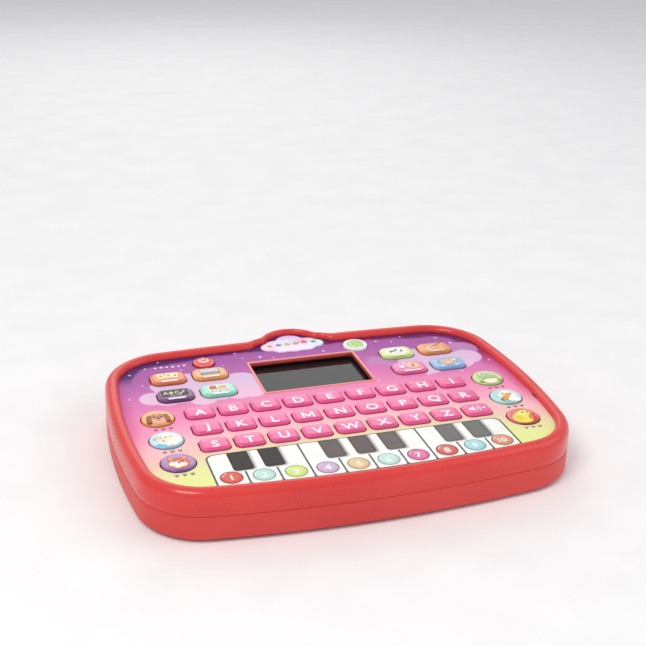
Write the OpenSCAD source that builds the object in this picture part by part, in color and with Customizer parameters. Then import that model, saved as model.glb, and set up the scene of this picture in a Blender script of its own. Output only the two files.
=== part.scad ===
// Learning-computer toy: a flat electronic slab with a raised rim, letter keys, mode keys,
// animal keys, a recessed display and a printed touch piano. Millimetres, +Z up.
// Origin: centre of the outline in plan, on the surface that the feet stand on.

/* [Housing] */
// Half width of the printed face at its widest
face_half_w = 105.6; // [104:0.1:107]
// Y of the printed face's top edge at the centre line
face_top = 67.5; // [66:0.5:69]
// Y of the printed face's bottom edge at the centre line
face_bottom = -78.5; // [-80:0.5:-77]
// Width of the raised rim round the printed face
rim_w = 7.5; // [6.5:0.5:8]
// Height of the rim's top above the ground
rim_top = 27; // [27:0.5:28]
// Height of the printed face above the ground
face_z = 24; // [24:0.1:24.2]
// Wall thickness of both shells
wall = 2.2; // [1.8:0.1:2.6]
// Height of the seam between the two shells
seam_z = 14; // [14:0.5:14]

/* [Letter keys] */
// Width of a letter key
key_w = 14.4; // [13.6:0.1:14.8]
// Depth of a letter key
key_d = 11.6; // [11:0.1:12.4]
// Column pitch of the letter keys
key_pitch = 17.15; // [17:0.05:17.3]
// How far a letter key stands above the face
key_h = 1.7; // [1.4:0.1:2.2]

/* [Mode and round keys] */
// Width of a mode key
mode_w = 18.8; // [17.8:0.1:19]
// Depth of a mode key
mode_d = 13.4; // [12.8:0.1:13.8]
// Diameter of an animal key
animal_d = 16.6; // [16:0.2:17.6]
// Diameter of the power button
power_d = 12; // [11:0.5:12.5]
// Diameter of the green button with its white collar
green_d = 14.2; // [13:0.2:14.4]
// Travel of every key
travel = 1; // [0.6:0.1:1]
// Gap between a key and the edge of its hole
key_gap = 0.4; // [0.3:0.05:0.5]

/* [Display] */
// Width of the display opening
disp_w = 59.5; // [56:0.5:60]
// Depth of the display opening
disp_d = 36.4; // [35:0.1:36.8]
// Y of the display's centre
disp_y = 31.2; // [30.8:0.1:31.4]

/* [Battery bay] */
// Diameter of one cell
cell_d = 10.4; // [10:0.1:10.5]
// Length of one cell with its nub
cell_l = 44.5; // [43.5:0.5:44.5]
// Thickness of the battery door
door_t = 1.65; // [1.5:0.05:1.65]

/* [Hidden] */
$fn = 48;

// ---------- levels ----------
film_t = 0.3;                       // printed film
deck_top = face_z - film_t;
deck_under = 21.5;
floor_z = 1.2;                      // underside of the rear shell
floor_in = 3;                       // inner face of its floor
pcb_z = 15.4;
pcb_top = 17;
mat_t = 0.8;
dome_top = 19.2;
flange_z = 20.3;
flange_top = deck_under - 0.1;
flange_out = 0.7;                   // flange reach past the key's side
glass_z = 19.4;
glass_top = 20.6;

// ---------- outline: four wide arcs joined by tangent corners ----------
bow_r = 615;                        // bottom edge bows towards the front
side_r = 347;
side_y = -6;
top_r = 1500;
corner_b = 26;
corner_t = 28;
B = [0, face_bottom + bow_r];
S = [face_half_w - side_r, side_y];
T = [0, face_top - top_r];

// one of the two points at distance p from A and q from C
function meet(A, p, C, q, s) =
    let (v = C - A, d = norm(v), a = (p*p - q*q + d*d) / (2*d), h = sqrt(p*p - a*a), u = v / d)
    [A[0] + a*u[0] - s*h*u[1], A[1] + a*u[1] + s*h*u[0]];
function ang(A, C) = atan2(C[1] - A[1], C[0] - A[0]);
function arcp(c, r, a0, a1, n) = [for (i = [0:n]) let (a = a0 + (a1 - a0) * i / n) [c[0] + r*cos(a), c[1] + r*sin(a)]];
CB = meet(B, bow_r - corner_b, S, side_r - corner_b, 1);
CT = meet(T, top_r - corner_t, S, side_r - corner_t, -1);
function half(o) = concat(
    arcp(B, bow_r + o, -90, ang(B, CB), 6),
    arcp(CB, corner_b + o, ang(B, CB), ang(S, CB), 10),
    arcp(S, side_r + o, ang(S, CB), ang(S, CT), 6),
    arcp(CT, corner_t + o, ang(S, CT), ang(T, CT), 10),
    arcp(T, top_r + o, ang(T, CT), 90, 4));
// keeps only points a little apart, so that no edge has zero length
function tidy(p) = [for (i = [0:len(p)-1]) if (i == 0 || norm(p[i] - p[i-1]) > 0.01) p[i]];
function whole(o) = let (h = tidy(half(o)), n = len(h))
    concat(h, [for (i = [n-2:-1:1]) [-h[i][0], h[i][1]]]);

// crest: a cloud of one dome and two shoulders over the top edge
crest_y = 66; crest_r = 15.5;
shoulder = [15, 64]; shoulder_r = 8.5;
crest_k = 0.6;                      // the rim is narrower round the crest
module body2d(o) {
    polygon(whole(o));
    translate([0, crest_y]) circle(r = crest_r + crest_k*o, $fn = 96);
    for (s = [-1, 1]) translate([s*shoulder[0], shoulder[1]]) circle(r = shoulder_r + crest_k*o, $fn = 64);
}
module slab(o, z0, z1) { translate([0, 0, z0]) linear_extrude(z1 - z0) body2d(o); }

module rrect(w, h, r) {
    square([w - 2*r, h], center = true);
    square([w, h - 2*r], center = true);
    for (x = [-1, 1], y = [-1, 1]) translate([x*(w/2 - r), y*(h/2 - r)]) circle(r = r, $fn = 32);
}
module plate(w, h, r, z0, z1) { translate([0, 0, z0]) linear_extrude(z1 - z0) rrect(w, h, r); }

// ---------- places ----------
row_y = [-1.1, -17.9, -34.7];
function letter_at(i) = [(i % 9 - 4) * key_pitch, row_y[floor(i / 9)]];
mode_x = [-76.4, -53.6, 53.6, 76.4];
mode_y = [40.9, 20.7];
function mode_at(i) = [mode_x[i % 4], mode_y[floor(i / 4)]];
animal_y = [-1.7, -24.5, -47.1];
animal_x = [90, 90, 88.8];
function animal_at(i) = [(i < 3 ? -1 : 1) * animal_x[i % 3], animal_y[i % 3]];
power_at = [-53.8, 55.7];
green_at = [34.6, 57.2];
case_screws = [[105.3, 16], [103.8, -38], [72, 66.3], [60, -73.5]];
pcb_screws = [[38, 30], [92, 13], [40, -50]];
feet_at = [[88, 48], [86, -60]];
speaker_at = [58, 30];
bay_y = -20;
bay_w = 52; bay_d = 33.6;
door_w = 56; door_d = 38;
piano = [152, 27.5];
piano_y = -57.75;
tail_x = -60;

// holes that every key passes through, in plan, grown by g
module key_holes(g) {
    for (i = [0:26]) translate(letter_at(i)) rrect(key_w + 2*g, key_d + 2*g, 3 + g);
    for (i = [0:7]) translate(mode_at(i)) rrect(mode_w + 2*g, mode_d + 2*g, 4.6 + g);
    for (i = [0:5]) translate(animal_at(i)) circle(r = animal_d/2 + g);
    translate(power_at) circle(r = power_d/2 + g);
    translate(green_at) circle(r = green_d/2 + g);
}

// ---------- housing ----------
module front_shell() {
    color("#df4f4e") difference() {
        union() {
            difference() {
                slab(rim_w, seam_z, rim_top - 1.6);
                slab(rim_w - wall, seam_z - 1, deck_under);
                slab(0.25, deck_top, rim_top + 1);
                // groove for the rear shell's tongue
                difference() {
                    slab(rim_w - 0.9, seam_z - 1, seam_z + 1.7);
                    slab(rim_w - 2.3, seam_z - 2, seam_z + 2);
                }
            }
            difference() {
                slab(rim_w - 1.2, rim_top - 1.6, rim_top - 0.6);
                slab(1.2, rim_top - 2, rim_top);
            }
            difference() {
                slab(rim_w - 2.6, rim_top - 0.6, rim_top);
                slab(2.6, rim_top - 1, rim_top + 1);
            }
            for (p = case_screws, s = [-1, 1]) translate([s*p[0], p[1], seam_z]) cylinder(r = 3.4, h = deck_under + 0.5 - seam_z);
            for (p = pcb_screws, s = [-1, 1]) translate([s*p[0], p[1], pcb_top]) cylinder(r = 2.8, h = deck_under + 0.5 - pcb_top);
            // lip and well of the display
            translate([0, disp_y, 0]) plate(disp_w + 2.2, disp_d + 2.2, 1.2, glass_top, deck_under + 0.5);
            translate([0, disp_y, 0]) plate(disp_w + 3, disp_d + 3, 1.6, deck_under + 0.2, face_z + 0.5);
        }
        for (p = case_screws, s = [-1, 1]) translate([s*p[0], p[1], seam_z - 1]) cylinder(r = 1.32, h = 6.5);
        for (p = pcb_screws, s = [-1, 1]) translate([s*p[0], p[1], pcb_top - 1]) cylinder(r = 1.32, h = 6);
        translate([0, disp_y, 0]) plate(disp_w, disp_d, 0.8, glass_top - 2, face_z + 2);
        translate([0, 0, deck_under - 1]) linear_extrude(6) key_holes(key_gap);
        // bed of the touch sheet, and the slot for its tail
        translate([-piano[0]/2 - 0.3, piano_y - piano[1]/2 - 0.3, deck_top - 0.5]) cube([piano[0] + 0.6, piano[1] + 0.6, 2]);
        translate([tail_x - 5.3, piano_y + piano[1]/2 - 1.1, deck_under - 1]) cube([10.6, 1.4, 5]);
        // short slot in the rim's inner edge
        translate([face_half_w - 0.9, -31.4, deck_top - 0.8]) cube([1.6, 6, 3]);
    }
}

module rear_shell() {
    color("#df4f4e") difference() {
        union() {
            difference() {
                union() {
                    slab(rim_w - 2.4, floor_z, floor_z + 0.6);
                    slab(rim_w - 1, floor_z + 0.6, floor_z + 1.6);
                    slab(rim_w, floor_z + 1.6, seam_z);
                }
                slab(rim_w - wall, floor_in, seam_z + 1);
            }
            // tongue
            difference() {
                slab(rim_w - 1.1, seam_z - 1.5, seam_z + 1.5);
                slab(rim_w - wall, seam_z - 2, seam_z + 2);
            }
            for (p = case_screws, s = [-1, 1]) translate([s*p[0], p[1], floor_in - 0.5]) cylinder(r = 4.2, h = seam_z - floor_in + 0.5);
            // battery bay
            translate([0, bay_y, 0]) plate(bay_w + 7.2, bay_d + 7.2, 1.5, floor_in - 0.5, 15.2);
            // boss of the door's screw
            translate([0, 3.2, floor_in - 0.5]) cylinder(r = 4, h = 7);
            // seat ring of the speaker
            translate([speaker_at[0], speaker_at[1], floor_in - 0.5]) cylinder(r = 19.7, h = 3.5);
        }
        for (p = case_screws, s = [-1, 1]) translate([s*p[0], p[1], floor_z - 1]) {
            cylinder(r = 3.1, h = 11.8);
            cylinder(r = 1.5, h = 16);
        }
        // bay, ledge and door opening
        translate([-bay_w/2, bay_y - bay_d/2, floor_z - 1]) cube([bay_w, bay_d, 14 - floor_z + 1]);
        translate([0, bay_y, 0]) plate(door_w + 0.6, door_d + 0.6, 2.3, floor_z - 1, floor_in);
        translate([0, 2.4, floor_z - 1]) cylinder(r = 5.3, h = floor_in - floor_z + 1);
        translate([0, 3.2, floor_in - 1]) cylinder(r = 1.95, h = 6.5);
        // windows for the door's two tongues
        for (s = [-1, 1]) translate([s*14 - 4.4, bay_y - door_d/2 - 4.8, floor_in]) cube([8.8, 9.5, 2.8]);
        // slots for the battery contacts' tags
        for (s = [-1, 1]) translate([s*(bay_w/2 + 1.6) - 2.8, bay_y - 14, 9]) cube([5.6, 3, 4]);
        // speaker: seat and grille
        translate([speaker_at[0], speaker_at[1], floor_in]) cylinder(r = 18.3, h = 10);
        for (ring = [[0, 1], [4.4, 6], [8.8, 12], [13.2, 18]], k = [0:ring[1]-1])
            translate([speaker_at[0] + ring[0]*cos(360*k/ring[1]), speaker_at[1] + ring[0]*sin(360*k/ring[1]), floor_z - 1])
                cylinder(r = 1.1, h = 4, $fn = 24);
        for (p = feet_at, s = [-1, 1]) translate([s*p[0], p[1], floor_z - 1]) cylinder(r = 5.1, h = 1.7);
    }
}

module face_overlay() {
    color("#f07fb4") difference() {
        slab(0, deck_top, face_z);
        translate([0, 0, deck_top - 1]) linear_extrude(3) key_holes(key_gap + 0.1);
        translate([0, disp_y, 0]) plate(disp_w + 3.4, disp_d + 3.4, 1.8, deck_top - 1, face_z + 1);
        translate([face_half_w - 0.9, -31.4, deck_top - 1]) cube([3, 6, 3]);
    }
}

module crest_badge() {
    color("#e8dcf5") translate([0, 0, face_z]) linear_extrude(0.8) {
        translate([0, 71.2]) circle(r = 8.5);
        translate([0, 66]) circle(r = 8);
        for (s = [-1, 1]) {
            translate([s*9.2, 67.8]) circle(r = 6.6);
            translate([s*14, 66.4]) circle(r = 4.6);
            translate([s*7, 65]) circle(r = 6.6);
        }
    }
}

module screen_window() {
    color([0.2, 0.2, 0.22, 0.8]) translate([0, disp_y, 0]) plate(disp_w + 3, disp_d + 3, 3, glass_z, glass_top);
}

// ---------- keys: cap, retaining flange and plunger ----------
module plunger() { translate([0, 0, dome_top]) cylinder(r = 2.2, h = flange_z - dome_top + 0.2, $fn = 32); }

module letter_key(i) {
    color("#f4609f") translate(letter_at(i)) {
        plate(key_w, key_d, 3, flange_z + 0.5, face_z + key_h - 0.5);
        plate(key_w - 1.2, key_d - 1.2, 2.5, face_z + key_h - 0.7, face_z + key_h);
        plate(key_w + 2*flange_out, key_d + 2*flange_out, 2, flange_z, flange_top);
        plunger();
    }
}

mode_colours = ["#ef7a4a", "#f2a65a", "#c3e08a", "#f08a4e", "#6a4c86", "#8fdcc8", "#f27fb0", "#7ea6dc"];
module mode_key(i) {
    color(mode_colours[i]) translate(mode_at(i)) {
        plate(mode_w, mode_d, 4.6, flange_z + 0.5, face_z + 1.3);
        plate(mode_w - 1.4, mode_d - 1.4, 4, face_z + 1.1, face_z + 1.8);
        plate(mode_w + 2*flange_out, mode_d + 2*flange_out, 3, flange_z, flange_top);
        plunger();
    }
}

animal_colours = ["#f0a048", "#bfe4f2", "#a06cc0", "#b4dc84", "#a8dcd8", "#ee6a70"];
module animal_key(i) {
    color(animal_colours[i]) translate(animal_at(i)) {
        translate([0, 0, flange_z + 0.5]) cylinder(r = animal_d/2, h = face_z + 0.7 - flange_z - 0.5);
        translate([0, 0, face_z + 0.5]) cylinder(r = animal_d/2 - 0.6, h = 0.7);
        translate([0, 0, flange_z]) cylinder(r = animal_d/2 + flange_out, h = flange_top - flange_z);
        plunger();
    }
}

module dome_cap(r, z, h) {
    R = (r*r + h*h) / (2*h);
    intersection() {
        translate([0, 0, z + h - R]) sphere(r = R, $fn = 64);
        translate([0, 0, z]) cylinder(r = r, h = h + 1);
    }
}

module power_button() {
    color("#e0322c") translate(power_at) {
        translate([0, 0, flange_z + 0.5]) cylinder(r = power_d/2, h = face_z + 1.1 - flange_z - 0.5);
        dome_cap(power_d/2, face_z + 1, 1.4);
        translate([0, 0, flange_z]) cylinder(r = power_d/2 + flange_out, h = flange_top - flange_z);
        plunger();
    }
}

module green_button() {
    color("#b9e07a") translate(green_at) {
        translate([0, 0, flange_z + 0.5]) cylinder(r = green_d/2, h = face_z + 0.9 - flange_z - 0.5);
        dome_cap(green_d/2, face_z + 0.8, 0.7);
        dome_cap(4.3, face_z + 1.2, 1.1);
        translate([0, 0, flange_z]) cylinder(r = green_d/2 + flange_out, h = flange_top - flange_z);
        plunger();
    }
}

// ---------- electronics ----------
module main_board() {
    color("#2f7d4a") {
        difference() {
            union() {
                translate([-98, -57, pcb_z]) cube([196, 111, pcb_top - pcb_z]);
                translate([-62, 53, pcb_z]) cube([124, 11, pcb_top - pcb_z]);
            }
            for (p = pcb_screws, s = [-1, 1]) translate([s*p[0], p[1], pcb_z - 1]) cylinder(r = 1.5, h = 4);
        }
        // sound chip, crystal and capacitor under the board, tail connector above it
        translate([-52, 2, pcb_z - 1.6]) cube([12, 12, 1.6]);
        translate([-34, 8, pcb_z - 2]) cube([8, 3.4, 2]);
        translate([-62, 30, pcb_z - 6]) cylinder(r = 3, h = 6);
        translate([tail_x - 6, -48, pcb_top]) cube([12, 2, 2]);
    }
}

module led_matrix() {
    color("#e8e4da") translate([0, disp_y, 0]) {
        plate(disp_w - 1, disp_d - 1, 0.5, pcb_top, pcb_top + 1);
        for (x = [-7:7], y = [-4:4]) translate([x*3.7, y*3.7, pcb_top + 1]) cylinder(r = 0.9, h = 0.7, $fn = 16);
    }
}

module key_mat() {
    color("#c9c6c0") {
        translate([0, 0, pcb_top]) linear_extrude(mat_t) difference() {
            union() {
                translate([-96.5, -55.5]) square([193, 108]);
                translate([-61, 52]) square([122, 11.5]);
            }
            translate([0, disp_y]) square([disp_w + 6, disp_d + 6], center = true);
            for (p = pcb_screws, s = [-1, 1]) translate([s*p[0], p[1]]) circle(r = 3.2);
            translate([tail_x - 7, -49]) square([14, 4]);
        }
        for (i = [0:26]) translate(letter_at(i)) key_dome();
        for (i = [0:7]) translate(mode_at(i)) key_dome();
        for (i = [0:5]) translate(animal_at(i)) key_dome();
        translate(power_at) key_dome();
        translate(green_at) key_dome();
    }
}
module key_dome() { translate([0, 0, pcb_top + mat_t - 0.1]) cylinder(r1 = 4, r2 = 2.6, h = dome_top - pcb_top - mat_t + 0.1, $fn = 32); }

module piano_membrane() {
    color("#d8d4cc") {
        translate([-piano[0]/2, piano_y - piano[1]/2, deck_top - 0.5]) cube([piano[0], piano[1], 0.5]);
        // tail down to the board's connector
        translate([tail_x - 5, piano_y + piano[1]/2 - 0.7, pcb_top + 2]) cube([10, 0.3, deck_top - 0.5 - pcb_top - 2 + 0.1]);
    }
}

module speaker() {
    color("#55585c") translate([speaker_at[0], speaker_at[1], floor_in]) {
        difference() {
            cylinder(r = 18, h = 1.2);
            translate([0, 0, -1]) cylinder(r = 16, h = 3);
        }
        difference() {
            translate([0, 0, 1.1]) cylinder(r1 = 17, r2 = 11, h = 4.4);
            translate([0, 0, 0.9]) cylinder(r1 = 16, r2 = 9.4, h = 4.1);
        }
        translate([0, 0, 5.4]) cylinder(r = 9.5, h = 3);
    }
    // paper cone, sealed to the basket's rim
    color("#2b2b2d") translate([speaker_at[0], speaker_at[1], floor_in]) difference() {
        translate([0, 0, 0.8]) cylinder(r1 = 15.6, r2 = 7, h = 3.6);
        translate([0, 0, 0.2]) cylinder(r1 = 15.6, r2 = 6.4, h = 3.8);
    }
}

module battery_cells() {
    for (k = [-1:1]) translate([0, bay_y + k*11, 8.55]) rotate([0, 90, k == 0 ? 180 : 0]) {
        color("#c8a94a") translate([0, 0, -cell_l/2]) cylinder(r = cell_d/2, h = cell_l - 1);
        color("silver") translate([0, 0, cell_l/2 - 1.2]) cylinder(r = 1.9, h = 1.2);
    }
}

// nickel plates and springs at both ends of the bay
module battery_contacts() {
    color("#c9c9c4") {
        for (s = [-1, 1]) translate([s*(bay_w/2 - 0.4) - 0.25, bay_y - 15.5, 4.5]) cube([0.5, 31, 8.2]);
        for (k = [-1:1]) {
            s = k == 0 ? 1 : -1;
            for (j = [0:3]) translate([s*(bay_w/2 - 1 - 0.7*j), bay_y + k*11, 8.55]) rotate([0, 90, 0])
                rotate_extrude($fn = 32) translate([3.8 - 0.45*j, 0]) circle(r = 0.36, $fn = 16);
        }
        for (s = [-1, 1]) translate([s*(bay_w/2 + 1.6) - 2.4, bay_y - 13, 10.5]) cube([4.8, 1.6, 0.5]);
    }
}

module wire(pts, r) {
    for (i = [0:len(pts)-2]) {
        v = pts[i+1] - pts[i];
        translate(pts[i]) rotate([0, acos(v[2]/norm(v)), atan2(v[1], v[0])]) cylinder(r = r, h = norm(v), $fn = 24);
        if (i > 0) translate(pts[i]) sphere(r = r + 0.08, $fn = 24);
    }
}
module lead_wires() {
    color("#c62a2a") {
        wire([[32, -32, 11.7], [35, -30, 13.5], [35, -30, 15.4]], 0.6);
        wire([[-32, -32, 11.7], [-35, -30, 13.5], [-35, -30, 15.4]], 0.6);
        wire([[55, 30, 11.4], [55, 30, 13.2], [52, 12, 13.6], [52, 12, 15.4]], 0.6);
        wire([[61, 30, 11.4], [61, 30, 13.2], [56, 12, 13.6], [56, 12, 15.4]], 0.6);
    }
}

// ---------- underside ----------
module battery_door() {
    color("#df4f4e") difference() {
        union() {
            translate([0, bay_y, 0]) plate(door_w, door_d, 2, floor_z, floor_z + door_t);
            translate([0, 2.4, floor_z]) cylinder(r = 5, h = door_t);
            for (s = [-1, 1]) translate([s*14 - 4, bay_y - door_d/2, 0]) {
                translate([0, 0.2, floor_z + door_t - 0.4]) cube([8, 1.5, floor_in + 1.4 - floor_z - door_t + 0.4]);
                translate([0, -2.6, floor_in + 0.25]) cube([8, 3, 1.15]);
            }
        }
        translate([0, 3.2, floor_z - 1]) cylinder(r = 1.5, h = 5);
        translate([0, 3.2, floor_z - 1]) cylinder(r = 2.8, h = 1.9);
        // finger grip: three shallow grooves
        for (k = [0:2]) translate([-9, -6 - 3*k, floor_z - 1]) cube([18, 1.2, 1.4]);
    }
}

module screw(l, head_r, head_h) {
    difference() {
        union() {
            cylinder(r = head_r, h = head_h);
            cylinder(r = 1.3, h = head_h + l);
        }
        for (a = [0, 90]) rotate([0, 0, a]) translate([-1.5, -0.3, -1]) cube([3, 0.6, 1.7]);
    }
}
module door_screw() { color("silver") translate([0, 3.2, floor_z + 0.05]) screw(4.4, 2.5, 0.8); }
module case_screws_set() {
    color("silver") {
        for (p = case_screws, s = [-1, 1]) translate([s*p[0], p[1], 10.5]) screw(6, 2.5, 1.5);
        for (p = pcb_screws, s = [-1, 1]) translate([s*p[0], p[1], pcb_z - 1.5]) screw(6, 2.5, 1.5);
    }
}
module rubber_feet() {
    color("#3a3a3c") for (p = feet_at, s = [-1, 1]) translate([s*p[0], p[1], 0]) cylinder(r = 5, h = 1.9);
}

front_shell();
rear_shell();
face_overlay();
crest_badge();
screen_window();
letter_key(0);  // key_a
letter_key(1);  // key_b
letter_key(2);  // key_c
letter_key(3);  // key_d
letter_key(4);  // key_e
letter_key(5);  // key_f
letter_key(6);  // key_g
letter_key(7);  // key_h
letter_key(8);  // key_i
letter_key(9);  // key_j
letter_key(10);  // key_k
letter_key(11);  // key_l
letter_key(12);  // key_m
letter_key(13);  // key_n
letter_key(14);  // key_o
letter_key(15);  // key_p
letter_key(16);  // key_q
letter_key(17);  // key_r
letter_key(18);  // key_s
letter_key(19);  // key_t
letter_key(20);  // key_u
letter_key(21);  // key_v
letter_key(22);  // key_w
letter_key(23);  // key_x
letter_key(24);  // key_y
letter_key(25);  // key_z
letter_key(26);  // key_volume
mode_key(0);  // mode_card_key
mode_key(1);  // mode_book_key
mode_key(2);  // mode_film_key
mode_key(3);  // mode_music_key
mode_key(4);  // mode_slate_key
mode_key(5);  // mode_piano_key
mode_key(6);  // mode_quiz_key
mode_key(7);  // mode_farm_key
animal_key(0);  // dog_key
animal_key(1);  // sheep_key
animal_key(2);  // cat_key
animal_key(3);  // frog_key
animal_key(4);  // duck_key
animal_key(5);  // bird_key
power_button();
green_button();
main_board();
led_matrix();
key_mat();
piano_membrane();
speaker();
battery_cells();
battery_contacts();
lead_wires();
battery_door();
door_screw();
case_screws_set();  // case_screws
rubber_feet();
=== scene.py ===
import bpy, bmesh, math
import numpy as np
from mathutils import Vector, Matrix
from mathutils.geometry import delaunay_2d_cdt


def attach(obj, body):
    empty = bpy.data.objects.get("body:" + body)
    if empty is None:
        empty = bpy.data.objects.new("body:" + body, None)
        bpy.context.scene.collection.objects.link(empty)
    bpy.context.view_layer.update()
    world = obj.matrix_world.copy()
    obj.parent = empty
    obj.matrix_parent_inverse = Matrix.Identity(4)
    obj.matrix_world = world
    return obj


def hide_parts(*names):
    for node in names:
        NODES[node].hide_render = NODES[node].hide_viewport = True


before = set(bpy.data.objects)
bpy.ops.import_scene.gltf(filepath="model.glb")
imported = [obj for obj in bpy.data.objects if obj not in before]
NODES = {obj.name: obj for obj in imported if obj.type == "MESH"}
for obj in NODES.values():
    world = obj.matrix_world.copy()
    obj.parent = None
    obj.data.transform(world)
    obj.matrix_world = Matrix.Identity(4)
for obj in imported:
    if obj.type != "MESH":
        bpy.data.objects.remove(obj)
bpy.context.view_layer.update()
MM = 0.001
scene = bpy.context.scene

# ------------------------------------------------------------------ camera
right = Vector((0.951675, -0.306041, 0.025570))
up = Vector((0.099100, 0.384833, 0.917651))
forward = Vector((0.290679, 0.870771, -0.396564))
cam_data = bpy.data.cameras.new("camera")
cam_data.sensor_fit = 'HORIZONTAL'
cam_data.sensor_width = 36.0
cam_data.lens = 66.80
cam_data.clip_start = 0.01
cam_data.clip_end = 50
cam = bpy.data.objects.new("camera", cam_data)
M = Matrix.Identity(4)
for r in range(3):
    M[r][0], M[r][1], M[r][2] = right[r], up[r], -forward[r]
M.translation = Vector((-0.18037, -0.52803, 0.30682))
cam.matrix_world = M
scene.collection.objects.link(cam)
scene.camera = cam
scene.view_settings.view_transform = 'Standard'
scene.view_settings.look = 'None'


# ------------------------------------------------------------------ materials
def lin(h, k=1.0):
    h = h.lstrip('#')
    out = []
    for i in (0, 2, 4):
        c = int(h[i:i + 2], 16) / 255
        c = c / 12.92 if c <= 0.04045 else ((c + 0.055) / 1.055) ** 2.4
        out.append(min(1.0, c * k))
    return (*out, 1.0)


class Graph:
    """A small builder for one material's node tree."""

    def __init__(self, name):
        self.m = bpy.data.materials.new(name)
        self.m.use_nodes = True
        self.t = self.m.node_tree
        self.t.nodes.clear()
        self.out = self.t.nodes.new("ShaderNodeOutputMaterial")
        self.b = self.t.nodes.new("ShaderNodeBsdfPrincipled")
        self.t.links.new(self.b.outputs[0], self.out.inputs[0])
        self.x = 0
        self._coord = None

    def put(self, sock, value):
        if isinstance(value, bpy.types.NodeSocket):
            self.t.links.new(value, sock)
        elif value is not None:
            sock.default_value = value

    def node(self, kind, **props):
        n = self.t.nodes.new(kind)
        self.x -= 40
        n.location = (self.x, 0)
        for k, v in props.items():
            setattr(n, k, v)
        return n

    def coord(self):
        if self._coord is None:
            self._coord = self.node("ShaderNodeTexCoord").outputs["Object"]
        return self._coord

    def mm(self):
        n = self.node("ShaderNodeVectorMath", operation='SCALE')
        self.put(n.inputs[0], self.coord())
        n.inputs["Scale"].default_value = 1000.0
        return n.outputs[0]

    def xyz(self, v):
        n = self.node("ShaderNodeSeparateXYZ")
        self.put(n.inputs[0], v)
        return n.outputs[0], n.outputs[1], n.outputs[2]

    def vec(self, x, y, z):
        n = self.node("ShaderNodeCombineXYZ")
        for i, v in enumerate((x, y, z)):
            self.put(n.inputs[i], v)
        return n.outputs[0]

    def math(self, op, a, b=None, c=None, clamp=False):
        n = self.node("ShaderNodeMath", operation=op, use_clamp=clamp)
        self.put(n.inputs[0], a)
        if b is not None:
            self.put(n.inputs[1], b)
        if c is not None:
            self.put(n.inputs[2], c)
        return n.outputs[0]

    def smooth(self, v, lo, hi, a=0.0, b=1.0):
        n = self.node("ShaderNodeMapRange", interpolation_type='SMOOTHSTEP')
        self.put(n.inputs["Value"], v)
        for k, x in (("From Min", lo), ("From Max", hi), ("To Min", a), ("To Max", b)):
            n.inputs[k].default_value = x
        return n.outputs[0]

    def dist(self, v, p):
        n = self.node("ShaderNodeVectorMath", operation='DISTANCE')
        self.put(n.inputs[0], v)
        n.inputs[1].default_value = p
        return n.outputs["Value"]

    def noise(self, v, scale, detail=2.0, rough=0.5, dist=0.0):
        n = self.node("ShaderNodeTexNoise")
        self.put(n.inputs["Vector"], v)
        n.inputs["Scale"].default_value = scale
        n.inputs["Detail"].default_value = detail
        n.inputs["Roughness"].default_value = rough
        n.inputs["Distortion"].default_value = dist
        return n.outputs[0]

    def mix(self, f, a, b, blend='MIX'):
        n = self.node("ShaderNodeMix", data_type='RGBA', blend_type=blend)
        self.put(n.inputs["Factor"], f)
        self.put(n.inputs[6], a)
        self.put(n.inputs[7], b)
        return n.outputs[2]

    def ramp(self, f, stops, mode='LINEAR'):
        n = self.node("ShaderNodeValToRGB")
        cr = n.color_ramp
        cr.interpolation = mode
        while len(cr.elements) < len(stops):
            cr.elements.new(0.5)
        for e, (p, c) in zip(cr.elements, sorted(stops, key=lambda s: s[0])):
            e.position, e.color = p, c
        self.put(n.inputs[0], f)
        return n.outputs[0]

    def bump(self, h, dist, strength=1.0, normal=None):
        n = self.node("ShaderNodeBump")
        n.inputs["Strength"].default_value = strength
        n.inputs["Distance"].default_value = dist
        self.put(n.inputs["Height"], h)
        if normal is not None:
            self.put(n.inputs["Normal"], normal)
        return n.outputs[0]

    def base(self, v):
        self.put(self.b.inputs["Base Color"], v)

    def set(self, **kw):
        names = dict(rough="Roughness", metal="Metallic", coat="Coat Weight", coat_rough="Coat Roughness",
                     ior="IOR", spec="Specular IOR Level", alpha="Alpha", sss="Subsurface Weight",
                     trans="Transmission Weight", normal="Normal", emit="Emission Strength")
        for k, v in kw.items():
            self.put(self.b.inputs[names[k]], v)
        return self


def plastic(name, colour, rough=0.28, var=0.05, patch=45, grain=1600, depth=0.00001, coat=0.0, sss=0.0, k=1.0, flow=0.0):
    """Moulded plastic: slow colour drift, fine skin texture in bump and roughness."""
    g = Graph(name)
    c = g.coord()
    slow = g.noise(c, patch, 3.0, 0.55)
    fine = g.noise(c, grain, 3.0, 0.6)
    lo, hi = lin(colour, k * (1 - var)), lin(colour, k * (1 + var))
    col = g.mix(g.smooth(slow, 0.3, 0.7), lo, hi)
    if flow:
        streak = g.noise(g.vec(*[g.math('MULTIPLY', v, s) for v, s in zip(g.xyz(c), (1.0, 0.15, 1.0))]), 900, 2.0)
        col = g.mix(g.smooth(streak, 0.45, 0.75, 0.0, flow), col, lin(colour, k * 0.8))
    g.base(col)
    g.set(rough=g.smooth(fine, 0.25, 0.75, max(0.02, rough - 0.05), rough + 0.07), coat=coat, coat_rough=0.08, sss=sss)
    if sss:
        g.b.inputs["Subsurface Radius"].default_value = (0.002, 0.001, 0.001)
        g.b.inputs["Subsurface Scale"].default_value = 0.5
    g.set(normal=g.bump(fine, depth, 0.5))
    return g.m


MATS = {}


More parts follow.
